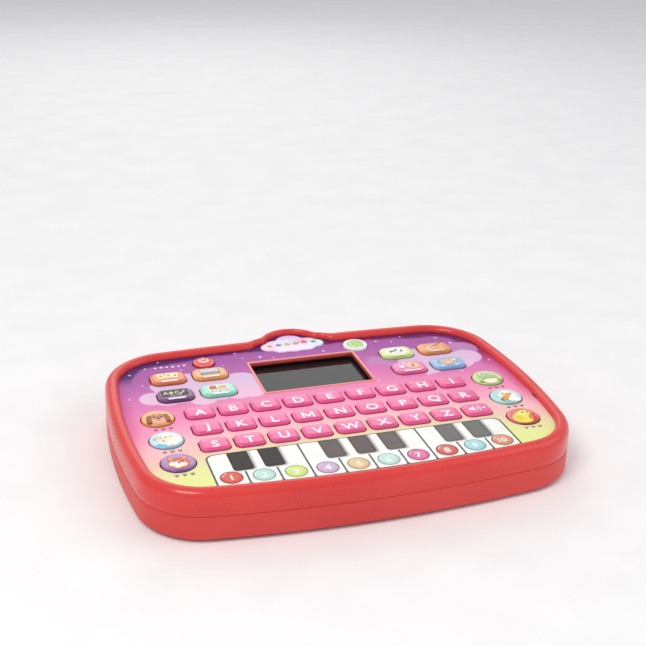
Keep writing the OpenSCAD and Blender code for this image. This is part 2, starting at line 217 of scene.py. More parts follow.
def ink(colour, rough=0.35, spec=0.5):
    """Printed or inlaid colour: screen-printed coverage with a slightly uneven edge-to-edge density."""
    key = (colour, rough, spec)
    if key not in MATS:
        g = Graph("ink_" + colour.lstrip('#') + ("" if rough == 0.35 else "_r%d" % int(rough * 100)) + ("" if spec == 0.5 else "_s%d" % int(spec * 100)))
        c = g.coord()
        slow = g.noise(c, 220, 2.0)
        dots = g.noise(c, 2600, 1.0)
        col = g.mix(g.smooth(slow, 0.3, 0.7), lin(colour, 0.95), lin(colour, 1.04))
        col = g.mix(g.smooth(dots, 0.55, 0.8, 0.0, 0.08), col, lin(colour, 0.8))
        g.base(col)
        g.set(rough=g.smooth(dots, 0.2, 0.8, rough - 0.06, rough + 0.06), spec=spec, normal=g.bump(dots, 0.000004, 0.4))
        MATS[key] = g.m
    return MATS[key]


# ------------------------------------------------------------------ mesh helpers
def build(name, verts, faces, mats, body, at=(0, 0, 0), face_mats=None, angle=38, smooth=True, merge=False):
    me = bpy.data.meshes.new(name)
    me.from_pydata([(x * MM, y * MM, z * MM) for x, y, z in verts], [], faces)
    if face_mats is not None:
        me.polygons.foreach_set("material_index", face_mats)
    for m in mats:
        me.materials.append(m)
    me.update()
    if merge:
        bm = bmesh.new()
        bm.from_mesh(me)
        bmesh.ops.remove_doubles(bm, verts=bm.verts, dist=1e-7)
        bmesh.ops.recalc_face_normals(bm, faces=bm.faces)
        bm.to_mesh(me)
        bm.free()
    if smooth:
        me.shade_smooth()
        me.set_sharp_from_angle(angle=math.radians(angle))
    o = bpy.data.objects.new(name, me)
    o.location = [v * MM for v in at]
    scene.collection.objects.link(o)
    if body is not None:
        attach(o, body)
    return o


class Solid:
    """Collects lofted parts and flat art into one mesh with several materials."""

    def __init__(self):
        self.v, self.f, self.m, self.mats = [], [], [], []

    def mat(self, m):
        if m not in self.mats:
            self.mats.append(m)
        return self.mats.index(m)

    def loft(self, rings, m, bottom=False, top=False, closed=True):
        s, n, k = len(self.v), len(rings[0]), self.mat(m)
        for r in rings:
            self.v += [tuple(p) for p in r]
        for j in range(len(rings) - 1):
            a, b = s + j * n, s + (j + 1) * n
            for i in range(n if closed else n - 1):
                i2 = (i + 1) % n
                self.f.append((a + i, a + i2, b + i2, b + i))
                self.m.append(k)
        if bottom:
            self.f.append(tuple(s + i for i in reversed(range(n))))
            self.m.append(k)
        if top:
            e = s + (len(rings) - 1) * n
            self.f.append(tuple(e + i for i in range(n)))
            self.m.append(k)
        return self

    def face(self, pts, m):
        s = len(self.v)
        self.v += [tuple(p) for p in pts]
        self.f.append(tuple(range(s, s + len(pts))))
        self.m.append(self.mat(m))

    def mesh(self, me, m, fn):
        s, k = len(self.v), self.mat(m)
        self.v += [fn(*v.co) for v in me.vertices]
        for p in me.polygons:
            self.f.append(tuple(s + i for i in p.vertices))
            self.m.append(k)

    # flat shapes: a top face with thin side walls, z is the top
    def flat(self, pts, z, m, t=0.05):
        area = sum(pts[i][0] * pts[(i + 1) % len(pts)][1] - pts[(i + 1) % len(pts)][0] * pts[i][1] for i in range(len(pts)))
        if area < 0:
            pts = pts[::-1]
        self.loft([[(x, y, z - t) for x, y in pts], [(x, y, z) for x, y in pts]], m, top=True)

    def strip(self, pts, w, z, m, t=0.05, cyclic=False, zf=None):
        """A stroke of width w along points, as short quads that can follow a curved surface."""
        L, R = [], []
        n = len(pts)
        for i, (x, y) in enumerate(pts):
            a = pts[(i - 1) % n] if (cyclic or i > 0) else pts[i]
            b = pts[(i + 1) % n] if (cyclic or i < n - 1) else pts[i]
            dx, dy = b[0] - a[0], b[1] - a[1]
            d = math.hypot(dx, dy) or 1
            L.append((x - dy / d * w / 2, y + dx / d * w / 2))
            R.append((x + dy / d * w / 2, y - dx / d * w / 2))
        zf = zf or (lambda x, y: z)
        rows = []
        for (lx, ly), (rx, ry) in zip(L, R):
            rows.append([(lx, ly, zf(lx, ly) - t), (rx, ry, zf(rx, ry) - t), (rx, ry, zf(rx, ry)), (lx, ly, zf(lx, ly))])
        s, k = len(self.v), self.mat(m)
        for r in rows:
            self.v += r
        cnt = n if cyclic else n - 1
        for i in range(cnt):
            a, b = s + 4 * i, s + 4 * ((i + 1) % n)
            for j in range(4):
                j2 = (j + 1) % 4
                self.f.append((a + j, b + j, b + j2, a + j2))
                self.m.append(k)
        if not cyclic:
            self.f.append((s, s + 1, s + 2, s + 3))
            e = s + 4 * (n - 1)
            self.f.append((e + 3, e + 2, e + 1, e))
            self.m += [k, k]

    def blob(self, cx, cy, rx, ry, z, h, m, rot=0.0, n=26, sink=0.08):
        """Low rounded boss on an elliptical base."""
        ca, sa = math.cos(math.radians(rot)), math.sin(math.radians(rot))
        rings = []
        for q, zz in ((1.0, -sink), (1.0, 0.0), (0.97, 0.30), (0.9, 0.52), (0.76, 0.75), (0.55, 0.91), (0.3, 0.985), (0.08, 1.0)):
            zv = z + (zz * h if zz >= 0 else zz)
            rings.append([(cx + q * (rx * math.cos(a) * ca - ry * math.sin(a) * sa),
                           cy + q * (rx * math.cos(a) * sa + ry * math.sin(a) * ca), zv)
                          for a in (2 * math.pi * i / n for i in range(n))])
        self.loft(rings, m, top=True)

    def lump(self, pts, z, h, m, edge=0.5):
        """Low boss on any outline: pts pulled in towards their middle in steps."""
        cx = sum(p[0] for p in pts) / len(pts)
        cy = sum(p[1] for p in pts) / len(pts)
        area = sum(pts[i][0] * pts[(i + 1) % len(pts)][1] - pts[(i + 1) % len(pts)][0] * pts[i][1] for i in range(len(pts)))
        if area < 0:
            pts = pts[::-1]
        rad = sum(math.hypot(p[0] - cx, p[1] - cy) for p in pts) / len(pts)
        rings = []
        for q, zz in ((0, -0.08), (0, 0.55 * h), (0.12, 0.85 * h), (0.35, h)):
            s = 1 - min(0.9, q * edge * 2 / rad)
            rings.append([(cx + (x - cx) * s, cy + (y - cy) * s, z + zz) for x, y in pts])
        self.loft(rings, m, top=True)

    def make(self, name, body, at=(0, 0, 0), angle=38, slot=None, merge=False):
        return build(name, self.v, self.f, self.mats, body, at, self.m, angle, merge=merge)


def circle(cx, cy, r, n=32, a0=0.0):
    return [(cx + r * math.cos(a0 + 2 * math.pi * i / n), cy + r * math.sin(a0 + 2 * math.pi * i / n)) for i in range(n)]


def ellipse(cx, cy, rx, ry, rot=0.0, n=28):
    c, s = math.cos(math.radians(rot)), math.sin(math.radians(rot))
    return [(cx + rx * math.cos(a) * c - ry * math.sin(a) * s, cy + rx * math.cos(a) * s + ry * math.sin(a) * c)
            for a in (2 * math.pi * i / n for i in range(n))]


def rrect(w, d, r, cx=0.0, cy=0.0, n=7, rot=0.0, mid=0):
    r = min(r, w / 2 - 1e-4, d / 2 - 1e-4)
    pts = []
    for sx, sy, a0 in ((1, 1, 0), (-1, 1, 90), (-1, -1, 180), (1, -1, 270)):
        for i in range(n + 1):
            a = math.radians(a0 + 90 * i / n)
            pts.append((sx * (w / 2 - r) + r * math.cos(a), sy * (d / 2 - r) + r * math.sin(a)))
    if mid:
        full = []
        for i, p in enumerate(pts):
            q = pts[(i + 1) % len(pts)]
            full.append(p)
            if (i + 1) % (n + 1) == 0:
                full += [(p[0] + (q[0] - p[0]) * j / (mid + 1), p[1] + (q[1] - p[1]) * j / (mid + 1)) for j in range(1, mid + 1)]
        pts = full
    c, s = math.cos(math.radians(rot)), math.sin(math.radians(rot))
    return [(cx + x * c - y * s, cy + x * s + y * c) for x, y in pts]


def star(cx, cy, R, r, n=5, rot=90.0):
    return [(cx + (R if i % 2 == 0 else r) * math.cos(math.radians(rot + 180 * i / n)),
             cy + (R if i % 2 == 0 else r) * math.sin(math.radians(rot + 180 * i / n))) for i in range(2 * n)]


def arc_pts(cx, cy, r, a0, a1, n=20, ry=None):
    ry = r if ry is None else ry
    return [(cx + r * math.cos(math.radians(a0 + (a1 - a0) * i / n)), cy + ry * math.sin(math.radians(a0 + (a1 - a0) * i / n)))
            for i in range(n + 1)]


def text_mesh(s, size, offset=0.0, extrude=0.0, bevel=0.0):
    """Built-in letter shape as a mesh in mm, its middle at the origin."""
    cu = bpy.data.curves.new("glyph", 'FONT')
    cu.body, cu.size, cu.offset, cu.extrude, cu.bevel_depth = s, size, offset, extrude, bevel
    cu.bevel_resolution, cu.resolution_u = 1, 5
    o = bpy.data.objects.new("glyph", cu)
    scene.collection.objects.link(o)
    dg = bpy.context.evaluated_depsgraph_get()
    me = bpy.data.meshes.new_from_object(o.evaluated_get(dg))
    bpy.data.objects.remove(o)
    co = np.array([v.co for v in me.vertices]).reshape(-1, 3)
    mid = (co.min(0) + co.max(0)) / 2
    me.transform(Matrix.Translation((-mid[0], -mid[1], -mid[2])))
    return me


# ------------------------------------------------------------------ outline, as in the CAD
def meet(A, p, C, q, s):
    vx, vy = C[0] - A[0], C[1] - A[1]
    d = math.hypot(vx, vy)
    a = (p * p - q * q + d * d) / (2 * d)
    h = math.sqrt(p * p - a * a)
    ux, uy = vx / d, vy / d
    return (A[0] + a * ux - s * h * uy, A[1] + a * uy + s * h * ux)


BOW, SIDE, TOPR, CRB, CRT = 615.0, 347.0, 1500.0, 26.0, 28.0
cB, cS, cT = (0.0, -78.5 + BOW), (105.6 - SIDE, -6.0), (0.0, 67.5 - TOPR)
CB = meet(cB, BOW - CRB, cS, SIDE - CRB, 1)
CT = meet(cT, TOPR - CRT, cS, SIDE - CRT, -1)


def ang(A, C):
    return math.degrees(math.atan2(C[1] - A[1], C[0] - A[0]))


def half_outline(o):
    pts = []
    for c, r, a0, a1, n in ((cB, BOW + o, -90, ang(cB, CB), 60), (CB, CRB + o, ang(cB, CB), ang(cS, CB), 60),
                            (cS, SIDE + o, ang(cS, CB), ang(cS, CT), 80), (CT, CRT + o, ang(cS, CT), ang(cT, CT), 60),
                            (cT, TOPR + o, ang(cT, CT), 90, 60)):
        pts += arc_pts(c[0], c[1], r, a0, a1, n)
    return pts


def smax(a, b, k):
    h = np.maximum(k - np.abs(a - b), 0) / k
    return np.maximum(a, b) + h * h * k / 4


def exit_dist(th, c, R):
    ux, uy = np.cos(th), np.sin(th)
    dot = ux * c[0] + uy * c[1]
    disc = R * R - c[0] ** 2 - c[1] ** 2 + dot * dot
    return np.where(disc > 0, dot + np.sqrt(np.maximum(disc, 0)), 0.0)


THETA = np.radians(np.concatenate([np.arange(-90, 58, 1.0), np.arange(58, 122, 0.4), np.arange(122, 270, 1.0)]))


def outline(o, k=2.6):
    """Points of the body's outline, grown by o (mm); the crest grows by 0.6 o."""
    h = np.array(half_outline(o))
    a, r = np.arctan2(h[:, 1], h[:, 0]), np.hypot(h[:, 0], h[:, 1])
    order = np.argsort(a)
    th = (THETA + math.pi / 2) % (2 * math.pi) - math.pi / 2
    fold = np.where(th > math.pi / 2, math.pi - th, th)
    rad = np.interp(fold, a[order], r[order])
    crest = exit_dist(fold, (0, 66), 15.5 + 0.6 * o)
    shoulder = exit_dist(fold, (15, 64), 8.5 + 0.6 * o)
    rad = smax(rad, smax(crest, shoulder, k), k)
    return [(float(q * math.cos(t)), float(q * math.sin(t))) for q, t in zip(rad, THETA)]


def inside(x, y, L):
    odd, j = False, len(L) - 1
    for i in range(len(L)):
        if (L[i][1] > y) != (L[j][1] > y) and x < (L[j][0] - L[i][0]) * (y - L[i][1]) / (L[j][1] - L[i][1]) + L[i][0]:
            odd = not odd
        j = i
    return odd


def plate(loops, z0, z1, mat, solid=None):
    """Flat plate with holes: loops[0] is the outside."""
    solid = solid or Solid()
    pts, edges = [], []
    for L in loops:
        s = len(pts)
        pts += [Vector((float(x), float(y))) for x, y in L]
        edges += [(s + i, s + (i + 1) % len(L)) for i in range(len(L))]
    vo, _, fo, _, _, _ = delaunay_2d_cdt(pts, edges, [], 1, 1e-6)
    fo = [f for f in fo if not any(inside(sum(vo[i][0] for i in f) / len(f), sum(vo[i][1] for i in f) / len(f), L) for L in loops[1:])]
    k, s, n = solid.mat(mat), len(solid.v), len(vo)
    solid.v += [(p[0], p[1], z1) for p in vo] + [(p[0], p[1], z0) for p in vo]
    for f in fo:
        a = sum(vo[f[i]][0] * vo[f[(i + 1) % len(f)]][1] - vo[f[(i + 1) % len(f)]][0] * vo[f[i]][1] for i in range(len(f)))
        f = list(f) if a > 0 else list(reversed(f))
        solid.f += [tuple(s + i for i in f), tuple(s + n + i for i in reversed(f))]
        solid.m += [k, k]
    for j, L in enumerate(loops):
        a = sum(L[i][0] * L[(i + 1) % len(L)][1] - L[(i + 1) % len(L)][0] * L[i][1] for i in range(len(L)))
        L = list(L) if (a > 0) == (j == 0) else list(L)[::-1]
        solid.loft([[(x, y, z0) for x, y in L], [(x, y, z1) for x, y in L]], mat)
    return solid


# ------------------------------------------------------------------ places, as in the CAD
ROW_Y = [-1.1, -17.9, -34.7]
LETTERS = [chr(97 + i) for i in range(26)]
KEYS = {}
for i in range(27):
    KEYS["key_" + LETTERS[i] if i < 26 else "key_volume"] = ((i % 9 - 4) * 17.15, ROW_Y[i // 9])
MODE_X, MODE_Y = [-76.4, -53.6, 53.6, 76.4], [40.9, 20.7]
MODES = {}
for i, n in enumerate(["mode_card_key", "mode_book_key", "mode_film_key", "mode_music_key",
                       "mode_slate_key", "mode_piano_key", "mode_quiz_key", "mode_farm_key"]):
    MODES[n] = (MODE_X[i % 4], MODE_Y[i // 4])
AN_Y, AN_X = [-1.7, -24.5, -47.1], [90, 90, 88.8]
ANIMALS = {}
for i, n in enumerate(["dog_key", "sheep_key", "cat_key", "frog_key", "duck_key", "bird_key"]):
    ANIMALS[n] = ((-1 if i < 3 else 1) * AN_X[i % 3], AN_Y[i % 3])
POWER, GREEN = (-53.8, 55.7), (34.6, 57.2)
DISP = (59.5, 36.4, 31.2)


def key_holes(g, green_g=None):
    out = [rrect(14.4 + 2 * g, 11.6 + 2 * g, 3 + g, x, y) for x, y in KEYS.values()]
    out += [rrect(18.8 + 2 * g, 13.4 + 2 * g, 4.6 + g, x, y) for x, y in MODES.values()]
    out += [circle(x, y, 8.3 + g, 48) for x, y in ANIMALS.values()]
    out.append(circle(*POWER, 6 + g, 40))
    out.append(circle(*GREEN, 7.1 + (g if green_g is None else green_g), 44))
    return out


# ------------------------------------------------------------------ shared plastics
coral = plastic("coral_gloss", "#e0433f", rough=0.24, var=0.035, patch=18, grain=1500, depth=0.000012, coat=0.25)
coral_in = plastic("coral_inner", "#a32a2c", rough=0.5, var=0.05, patch=30, grain=1500)
white_ink = plastic("legend_white", "#fff6fa", rough=0.3, var=0.02, patch=200, grain=2500, depth=0.000004)


def rear_material():
    g = Graph("coral_textured")
    c = g.coord()
    spark = g.noise(c, 900, 4.0, 0.65)
    slow = g.noise(c, 16, 3.0)
    g.base(g.mix(g.smooth(slow, 0.3, 0.7), lin("#d23835"), lin("#de433e")))
    g.set(rough=g.smooth(spark, 0.3, 0.7, 0.36, 0.52), normal=g.bump(spark, 0.00006, 0.55))
    return g.m


coral_rear = rear_material()

# ------------------------------------------------------------------ upper shell: rim, deck, display well
RIM = [(7.12, 14.02), (7.36, 14.14), (7.5, 14.4), (7.5, 17.5), (7.5, 20.5), (7.45, 22.0), (7.3, 23.2), (7.0, 24.3),
       (6.5, 25.25), (5.8, 26.05), (4.95, 26.6), (4.0, 26.9), (3.2, 27.0), (2.4, 26.92), (1.7, 26.62), (1.12, 26.12),
       (0.72, 25.5), (0.47, 24.9), (0.34, 24.4), (0.3, 24.0), (0.3, 23.3)]


def rim_material():
    """Glossy coral with a painted highlight: the colour lightens with height, along the rounded top and its inner edge.
    """
    g = Graph("coral_rim")
    c = g.coord()
    x, y, z = g.xyz(g.mm())
    slow = g.noise(c, 18, 3.0)
    fine = g.noise(c, 1500, 3.0, 0.6)
    col = g.mix(g.smooth(slow, 0.3, 0.7), lin("#d83634"), lin("#e2403c"))
    # painted highlight: lighter coral towards the top of the rim
    col = g.mix(g.smooth(z, 24.2, 26.8, 0.0, 0.15), col, lin("#ee5a52"))
    g.base(col)
    g.set(rough=g.smooth(fine, 0.25, 0.75, 0.2, 0.3), spec=0.4, coat=0.12, coat_rough=0.06, normal=g.bump(fine, 0.00001, 0.5))
    return g.m


rim_mat = rim_material()
skin = Solid()
skin.loft([[(x, y, z) for x, y in outline(o)] for o, z in RIM], rim_mat)
deck_mat = plastic("coral_deck", "#c63a38", rough=0.42, var=0.05)
plate([outline(0.32)] + key_holes(0.4) + [rrect(59.7, 36.6, 0.9, 0, DISP[2], n=4)], 21.5, 23.66, deck_mat, skin)


def well_material():
    g = Graph("display_well")
    x, y, z = g.xyz(g.mm())
    fine = g.noise(g.coord(), 1500, 3.0)
    # painted shade: the well's wall darkens down into the recess; painted highlight: the lip's top is lighter pink
    col = g.ramp(g.math('DIVIDE', g.math('SUBTRACT', z, 20.4), 4.3, clamp=True),
                 [(0.0, lin("#2a0806")), (0.36, lin("#4a100c")), (0.48, lin("#b84a48")), (0.8, lin("#d9605c")), (0.9, lin("#fb8f8c")), (1.0, lin("#ffa3a0"))])
    g.base(col)
    g.set(rough=g.smooth(fine, 0.2, 0.8, 0.26, 0.4), coat=0.2, coat_rough=0.1, normal=g.bump(fine, 0.00001, 0.5))
    return g.m


well_mat = well_material()
LIP = [(1.45, 23.6), (1.45, 24.2), (1.38, 24.38), (1.2, 24.48), (0.9, 24.5), (0.5, 24.48), (0.22, 24.4), (0.06, 24.25), (0.0, 24.0),
       (0.0, 23.0), (0.0, 22.3), (0.02, 21.6), (0.3, 21.5), (0.3, 20.62)]
skin.loft([[(x, y, z) for x, y in rrect(DISP[0] + 2 * o, DISP[1] + 2 * o, 0.8 + max(0, o) * 0.6, 0, DISP[2], n=6, mid=4)] for o, z in LIP[:12]], well_mat)
upper = skin.make("upper_shell", "housing", slot="shell_coral", angle=40)
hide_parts("front_shell")

# small slot beside the print, at the right: a dark raised patch, painted shade standing in for the opening
slotp = Solid()
slot_shade = plastic("slot_dark", "#4a1016", rough=0.5)
slotp.lump(rrect(1.1, 7.0, 0.5, 105.55, -27.6, n=5), 24.05, 0.5, slot_shade, edge=0.3)
slotp.make("rim_slot", "housing")


# ------------------------------------------------------------------ printed film
def film_material():
    g = Graph("printed_film")
    v = g.mm()
    x, y, z = g.xyz(v)
    ax = g.math('DIVIDE', g.math('ABSOLUTE', x), 100.0)
    bow = g.math('MULTIPLY', g.math('POWER', ax, 3.0), 10.0)
    wash = g.math('MULTIPLY', g.math('SUBTRACT', g.noise(v, 0.045, 3.0, 0.5), 0.5), 9.0)
    yy = g.math('ADD', g.math('ADD', y, bow), wash)
    f = g.math('DIVIDE', g.math('ADD', yy, 80.0), 150.0, clamp=True)
    table = [(-76, "#edf5a0"), (-66, "#ecf5a0"), (-58, "#edf39f"), (-52, "#eeeda6"), (-45, "#efe4ad"), (-38, "#f4d2b8"),
             (-32, "#fbc8c0"), (-24, "#fec2c8"), (-16, "#fdb2c6"), (-8, "#fda0c4"), (2, "#f890bc"), (10, "#f08fbc"),
             (18, "#e782b8"), (26, "#dc7cb6"), (34, "#cc72b2"), (42, "#bd68ad"), (52, "#b05fa8"), (66, "#a556a2")]
    col = g.ramp(f, [((a + 80) / 150, lin(c)) for a, c in table])
    # distance in from the print's edge, as a rounded box
    qx = g.math('SUBTRACT', g.math('ABSOLUTE', x), 105.6 - 27)
    qy = g.math('SUBTRACT', g.math('ABSOLUTE', g.math('ADD', y, 5.5)), 73 - 27)
    corner = g.math('SQRT', g.math('ADD', g.math('POWER', g.math('MAXIMUM', qx, 0.0), 2.0), g.math('POWER', g.math('MAXIMUM', qy, 0.0), 2.0)))
    inner = g.math('MINIMUM', g.math('MAXIMUM', qx, qy), 0.0)
    depth = g.math('SUBTRACT', 27.0, g.math('ADD', corner, inner))
    ragged = g.math('ADD', depth, g.math('MULTIPLY', g.math('SUBTRACT', g.noise(v, 0.11, 2.0), 0.5), 5.5))
    wide = g.math('ADD', g.math('MULTIPLY', g.smooth(g.math('ABSOLUTE', x), 38.0, 92.0), 6.0), 4.3)
    reach = g.math('MAXIMUM', g.smooth(y, 37.0, 50.0), g.math('MULTIPLY', g.smooth(x, -10.0, 10.0), g.smooth(y, 4.0, 36.0)))
    band = g.math('MULTIPLY', g.smooth(g.math('SUBTRACT', ragged, wide), -1.8, 1.2, 1.0, 0.0), reach)
    side = g.math('MULTIPLY', g.smooth(depth, 0.0, 8.0, 1.0, 0.0), g.smooth(y, -52.0, -5.0))
    col = g.mix(g.math('MULTIPLY', side, g.smooth(x, -60, 60, 0.42, 0.7)), col, g.mix(g.smooth(x, -60, 60), lin("#bb3570"), lin("#d23c76")))
    tint = g.mix(g.smooth(x, -60, 60), lin("#4c0d5c"), g.mix(g.smooth(y, 15, 58), lin("#b32a6c"), lin("#68114f")))
    col = g.mix(g.math('MULTIPLY', band, 0.97), col, tint)

    def cloud(col, circles, tone, shade=None, soft=1.6, strength=0.95):
        m = None
        for cx, cy, r in circles:
            d = g.smooth(g.dist(g.vec(x, y, 0.0), (cx, cy, 0.0)), r - soft / 2, r + soft / 2, 1.0, 0.0)
            m = d if m is None else g.math('MAXIMUM', m, d)
        tone_c = lin(tone)
        if shade:
            tone_c = g.mix(g.smooth(y, 14, 34), lin(shade), lin(tone))
        return g.mix(g.math('MULTIPLY', m, strength), col, tone_c)

    col = cloud(col, [(92.5, 38, 9)], "#c58cc0", strength=0.9)
    col = cloud(col, [(39, 36, 5), (45, 33, 5)], "#c995c6", strength=0.6, soft=3)
    col = cloud(col, [(66, 36, 9), (75, 30, 12), (64, 20, 8), (91, 28, 8.5), (84, 24, 9), (58, 28, 8)], "#e6c4e2", "#f2c6e2")
    col = cloud(col, [(-88.3, 21, 6.9), (-81, 18.3, 7), (-73, 18.5, 6), (-63, 15.5, 7.8), (-60, 30, 10), (-67, 38, 8), (-81, 33.5, 6.3), (-39, 30, 10), (-44, 18, 8), (-36.5, 17, 7),
                      (-33, 25, 8), (-76, 28, 10), (-54, 20, 9), (-48, 30, 10), (-81, 23, 6)], "#e3c6e3", "#f3c8e0")
    # thin print grain: faint white specks from noise
    grain = g.noise(v, 2.4, 2.0)
    col = g.mix(g.smooth(grain, 0.45, 0.8, 0.0, 0.06), col, lin("#ffffff"))
    g.base(col)
    g.set(rough=g.smooth(grain, 0.2, 0.8, 0.28, 0.38), spec=0.07, normal=g.bump(grain, 0.000006, 0.5))
    return g.m


film = plate([outline(0.27)] + key_holes(0.5, 0.35) + [rrect(62.3, 39.2, 1.6, 0, DISP[2], n=5)], 23.72, 24.0, film_material())
film = film.make("print_film", "housing", slot="printed_film", angle=30)
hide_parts("face_overlay")

# ------------------------------------------------------------------ printed piano
paper = ink("#fbfbf3", 0.3)
line = ink("#4c4a48", 0.32)
# ebony tones per black key grey from near black at the left to mid grey at the right: a painted reflection. The second
# tone of each pair is a painted highlight for the key's inner bar.
ebonies = [(ink(a, 0.3, 0.2), ink(b, 0.3, 0.2)) for a, b in (("#221a17", "#2b2320"), ("#231c19", "#2c2421"), ("#5c524e", "#665c58"), ("#594d4a", "#635754"),
                                                            ("#625954", "#6c635f"), ("#6a6966", "#74736f"), ("#686c68", "#727671"))]
soft0, soft1, soft2 = ink("#a9a7a2", 0.3), ink("#c9c7c1", 0.3), ink("#e6e4dd", 0.3)


def low(x):
    return -76 + 3.9 * (x / 75) ** 2


def key_shape(x0, x1, top, inset, r_left=0.0, r_right=0.0):
    """One white key: straight sides, the bowed lower edge, rounded outer corners."""
    pts = []
    xs = [x0 + (x1 - x0) * i / 8 for i in range(9)]
    rb = 1.2
    lower = [(x, low(x) + inset) for x in xs]
    # round the outer corners of the row
    pts += [(x0 + rb * (1 - math.cos(a)), lower[0][1] + rb * (1 - math.sin(a))) for a in (0.0, 0.4, 0.8, 1.2, math.pi / 2)]
    pts += lower[1:-1]
    pts += [(x1 - rb * (1 - math.cos(a)), lower[-1][1] + rb * (1 - math.sin(a))) for a in (math.pi / 2, 1.2, 0.8, 0.4, 0.0)]
    if r_right:
        pts += [(x1 - r_right + r_right * math.cos(a), top - r_right + r_right * math.sin(a)) for a in [math.pi / 2 * i / 7 for i in range(8)]]
    else:
        pts += [(x1, top)]
    if r_left:
        pts += [(x0 + r_left - r_left * math.sin(a), top - r_left + r_left * math.cos(a)) for a in [math.pi / 2 * i / 7 for i in range(8)]]
    else:
        pts += [(x0, top)]
    return pts


piano = Solid()
edge = [-75.6 + 15.12 * i for i in range(11)]
back = []
xs = [-76.1 + 152.2 * i / 40 for i in range(41)]
back += [(x, low(x) - 0.55) for x in xs]
back += [(76.1 - 4.6 + 4.6 * math.cos(a), -43.5 - 4.6 + 4.6 * math.sin(a)) for a in [math.pi / 2 * i / 7 for i in range(8)]]
back += [(-76.1 + 4.6 - 4.6 * math.sin(a), -43.5 - 4.6 + 4.6 * math.cos(a)) for a in [math.pi / 2 * i / 7 for i in range(8)]]
piano.flat(back, 24.03, line, t=0.02)
for i in range(10):
    piano.flat(key_shape(edge[i] + 0.5, edge[i + 1] - 0.5, -44.15, 0.4, 4.2 if i == 0 else 0, 4.2 if i == 9 else 0), 24.05, paper, t=0.02)
for bi, bx in enumerate((-60.5, -45.4, -15.1, 0.0, 15.1, 45.4, 60.5)):
    ebony, ebony_highlight = ebonies[bi]
    def bar(w, y0, y1, r, dx=0.0):
        pts = [(bx + dx - w / 2, y1), (bx + dx - w / 2, y0 + r)]
        pts += [(bx + dx - w / 2 + r * (1 - math.cos(a)), y0 + r * (1 - math.sin(a))) for a in [math.pi / 2 * i / 5 for i in range(1, 6)]]
        pts += [(bx + dx + w / 2 - r * (1 - math.cos(a)), y0 + r * (1 - math.sin(a))) for a in [math.pi / 2 * i / 5 for i in range(5, 0, -1)]]
        pts += [(bx + dx + w / 2, y0 + r), (bx + dx + w / 2, y1)]
        return pts
    piano.flat(bar(11.5, -62.1, -44.3, 2.2, 0.85), 24.055, soft2, t=0.01)
    piano.flat(bar(11.0, -61.7, -44.3, 2.1, 0.65), 24.06, soft1, t=0.01)
    piano.flat(bar(10.5, -61.3, -44.3, 2.0, 0.4), 24.065, soft0, t=0.01)
    piano.flat(bar(10.0, -61.0, -43.6, 1.8), 24.07, ebony, t=0.015)
    # painted highlight: a lighter inner bar on each black key
    piano.flat(bar(7.6, -59.4, -45.2, 1.4), 24.076, ebony_highlight, t=0.01)
piano.make("piano_print", "housing")

DISCS = ["#dc3b26", "#b6e2d5", "#cfe374", "#cba6ca", "#e4bd82", "#bfe6db", "#e06095", "#d4564c", "#a2dee2", "#df9268"]
discs = Solid()
for i, c in enumerate(DISCS):
    x = -68 + 15.11 * i
    y = -69.2 + 3.2 * (x / 69) ** 2
    dark = '#%02x%02x%02x' % tuple(int(int(c[j:j + 2], 16) * 0.66) for j in (1, 3, 5))
    discs.flat(circle(x, y, 5.5, 44), 24.09, ink(dark), t=0.03)
    mid = '#%02x%02x%02x' % tuple(int(int(c[j:j + 2], 16) * 0.87) for j in (1, 3, 5))
    disc_highlight = '#%02x%02x%02x' % tuple(int(255 - (255 - int(c[j:j + 2], 16)) * 0.84) for j in (1, 3, 5))
    discs.flat(circle(x, y, 5.1, 44), 24.105, ink(mid), t=0.015)
    # painted shade: the disc's own colour sits a little high, so the darker ring shows wider at the bottom
    discs.flat(circle(x, y + 0.25, 4.6, 44), 24.112, ink(c), t=0.01)
    # painted highlight: a paler circle set high on the disc
    discs.flat(circle(x, y + 0.75, 3.6, 44), 24.118, ink(disc_highlight), t=0.01)
    # painted highlight: a white arc at the upper left
    discs.strip(arc_pts(x, y, 4.2, 110, 165, 10), 0.3, 24.12, ink("#fff4ec"), t=0.01)
    me = text_mesh(str(i + 1), 6.0 if i < 9 else 5.0, 0.13, 0.012)
    discs.mesh(me, ink("#fdf8f0"), lambda a, b, c2, x=x, y=y: (x + a, y + b - 0.1, 24.125 + c2))
discs.make("piano_discs", "housing")

# ------------------------------------------------------------------ sparkles and small prints on the film
spark = Solid()
pale, pink_pale = ink("#fdeefb"), ink("#f9d3ea")
for i, (x, y, s) in enumerate([(-77.8, 63.3, .8), (-95.3, 51.3, .8), (-90.8, 37.2, .7), (-100, 23, .8), (-34.2, 64.2, .8), (-21.7, 56.3, 1.1), (-31.7, 57, .7),
                               (-67.5, 50.6, .7), (48.3, 60.3, 1.0), (56.7, 57.5, .8), (83.7, 55.8, 1.0), (89.2, 47.5, 1.1), (101.2, 20.5, .9), (15, 55, .9),
                               (61.3, 11.2, .8), (32.5, 12.0, .8), (80.8, 11.2, .9), (64, 62.5, .6), (-44, 50.8, .6), (-86, 57, .7), (-14.5, 53.6, .6)]):
    if i % 3 == 0:
        spark.flat(circle(x, y, 0.62 * s, 14), 24.03, pale, t=0.02)
    else:
        spark.flat(star(x, y, 1.55 * s, 0.42 * s, 4, 90), 24.03, pale if i % 2 else pink_pale, t=0.02)
# a row of dots and stars beside the power button
for i in range(6):
    x, y = -80.5 + 3.2 * i, 56.4 + 0.35 * math.sin(i * 1.3)
    if i % 2:
        spark.flat(star(x, y, 1.25, 0.55, 5, 90), 24.03, pale, t=0.02)
    else:
        spark.flat(circle(x, y, 0.7, 16), 24.03, pale, t=0.02)
spark.make("sparkle_print", "housing")

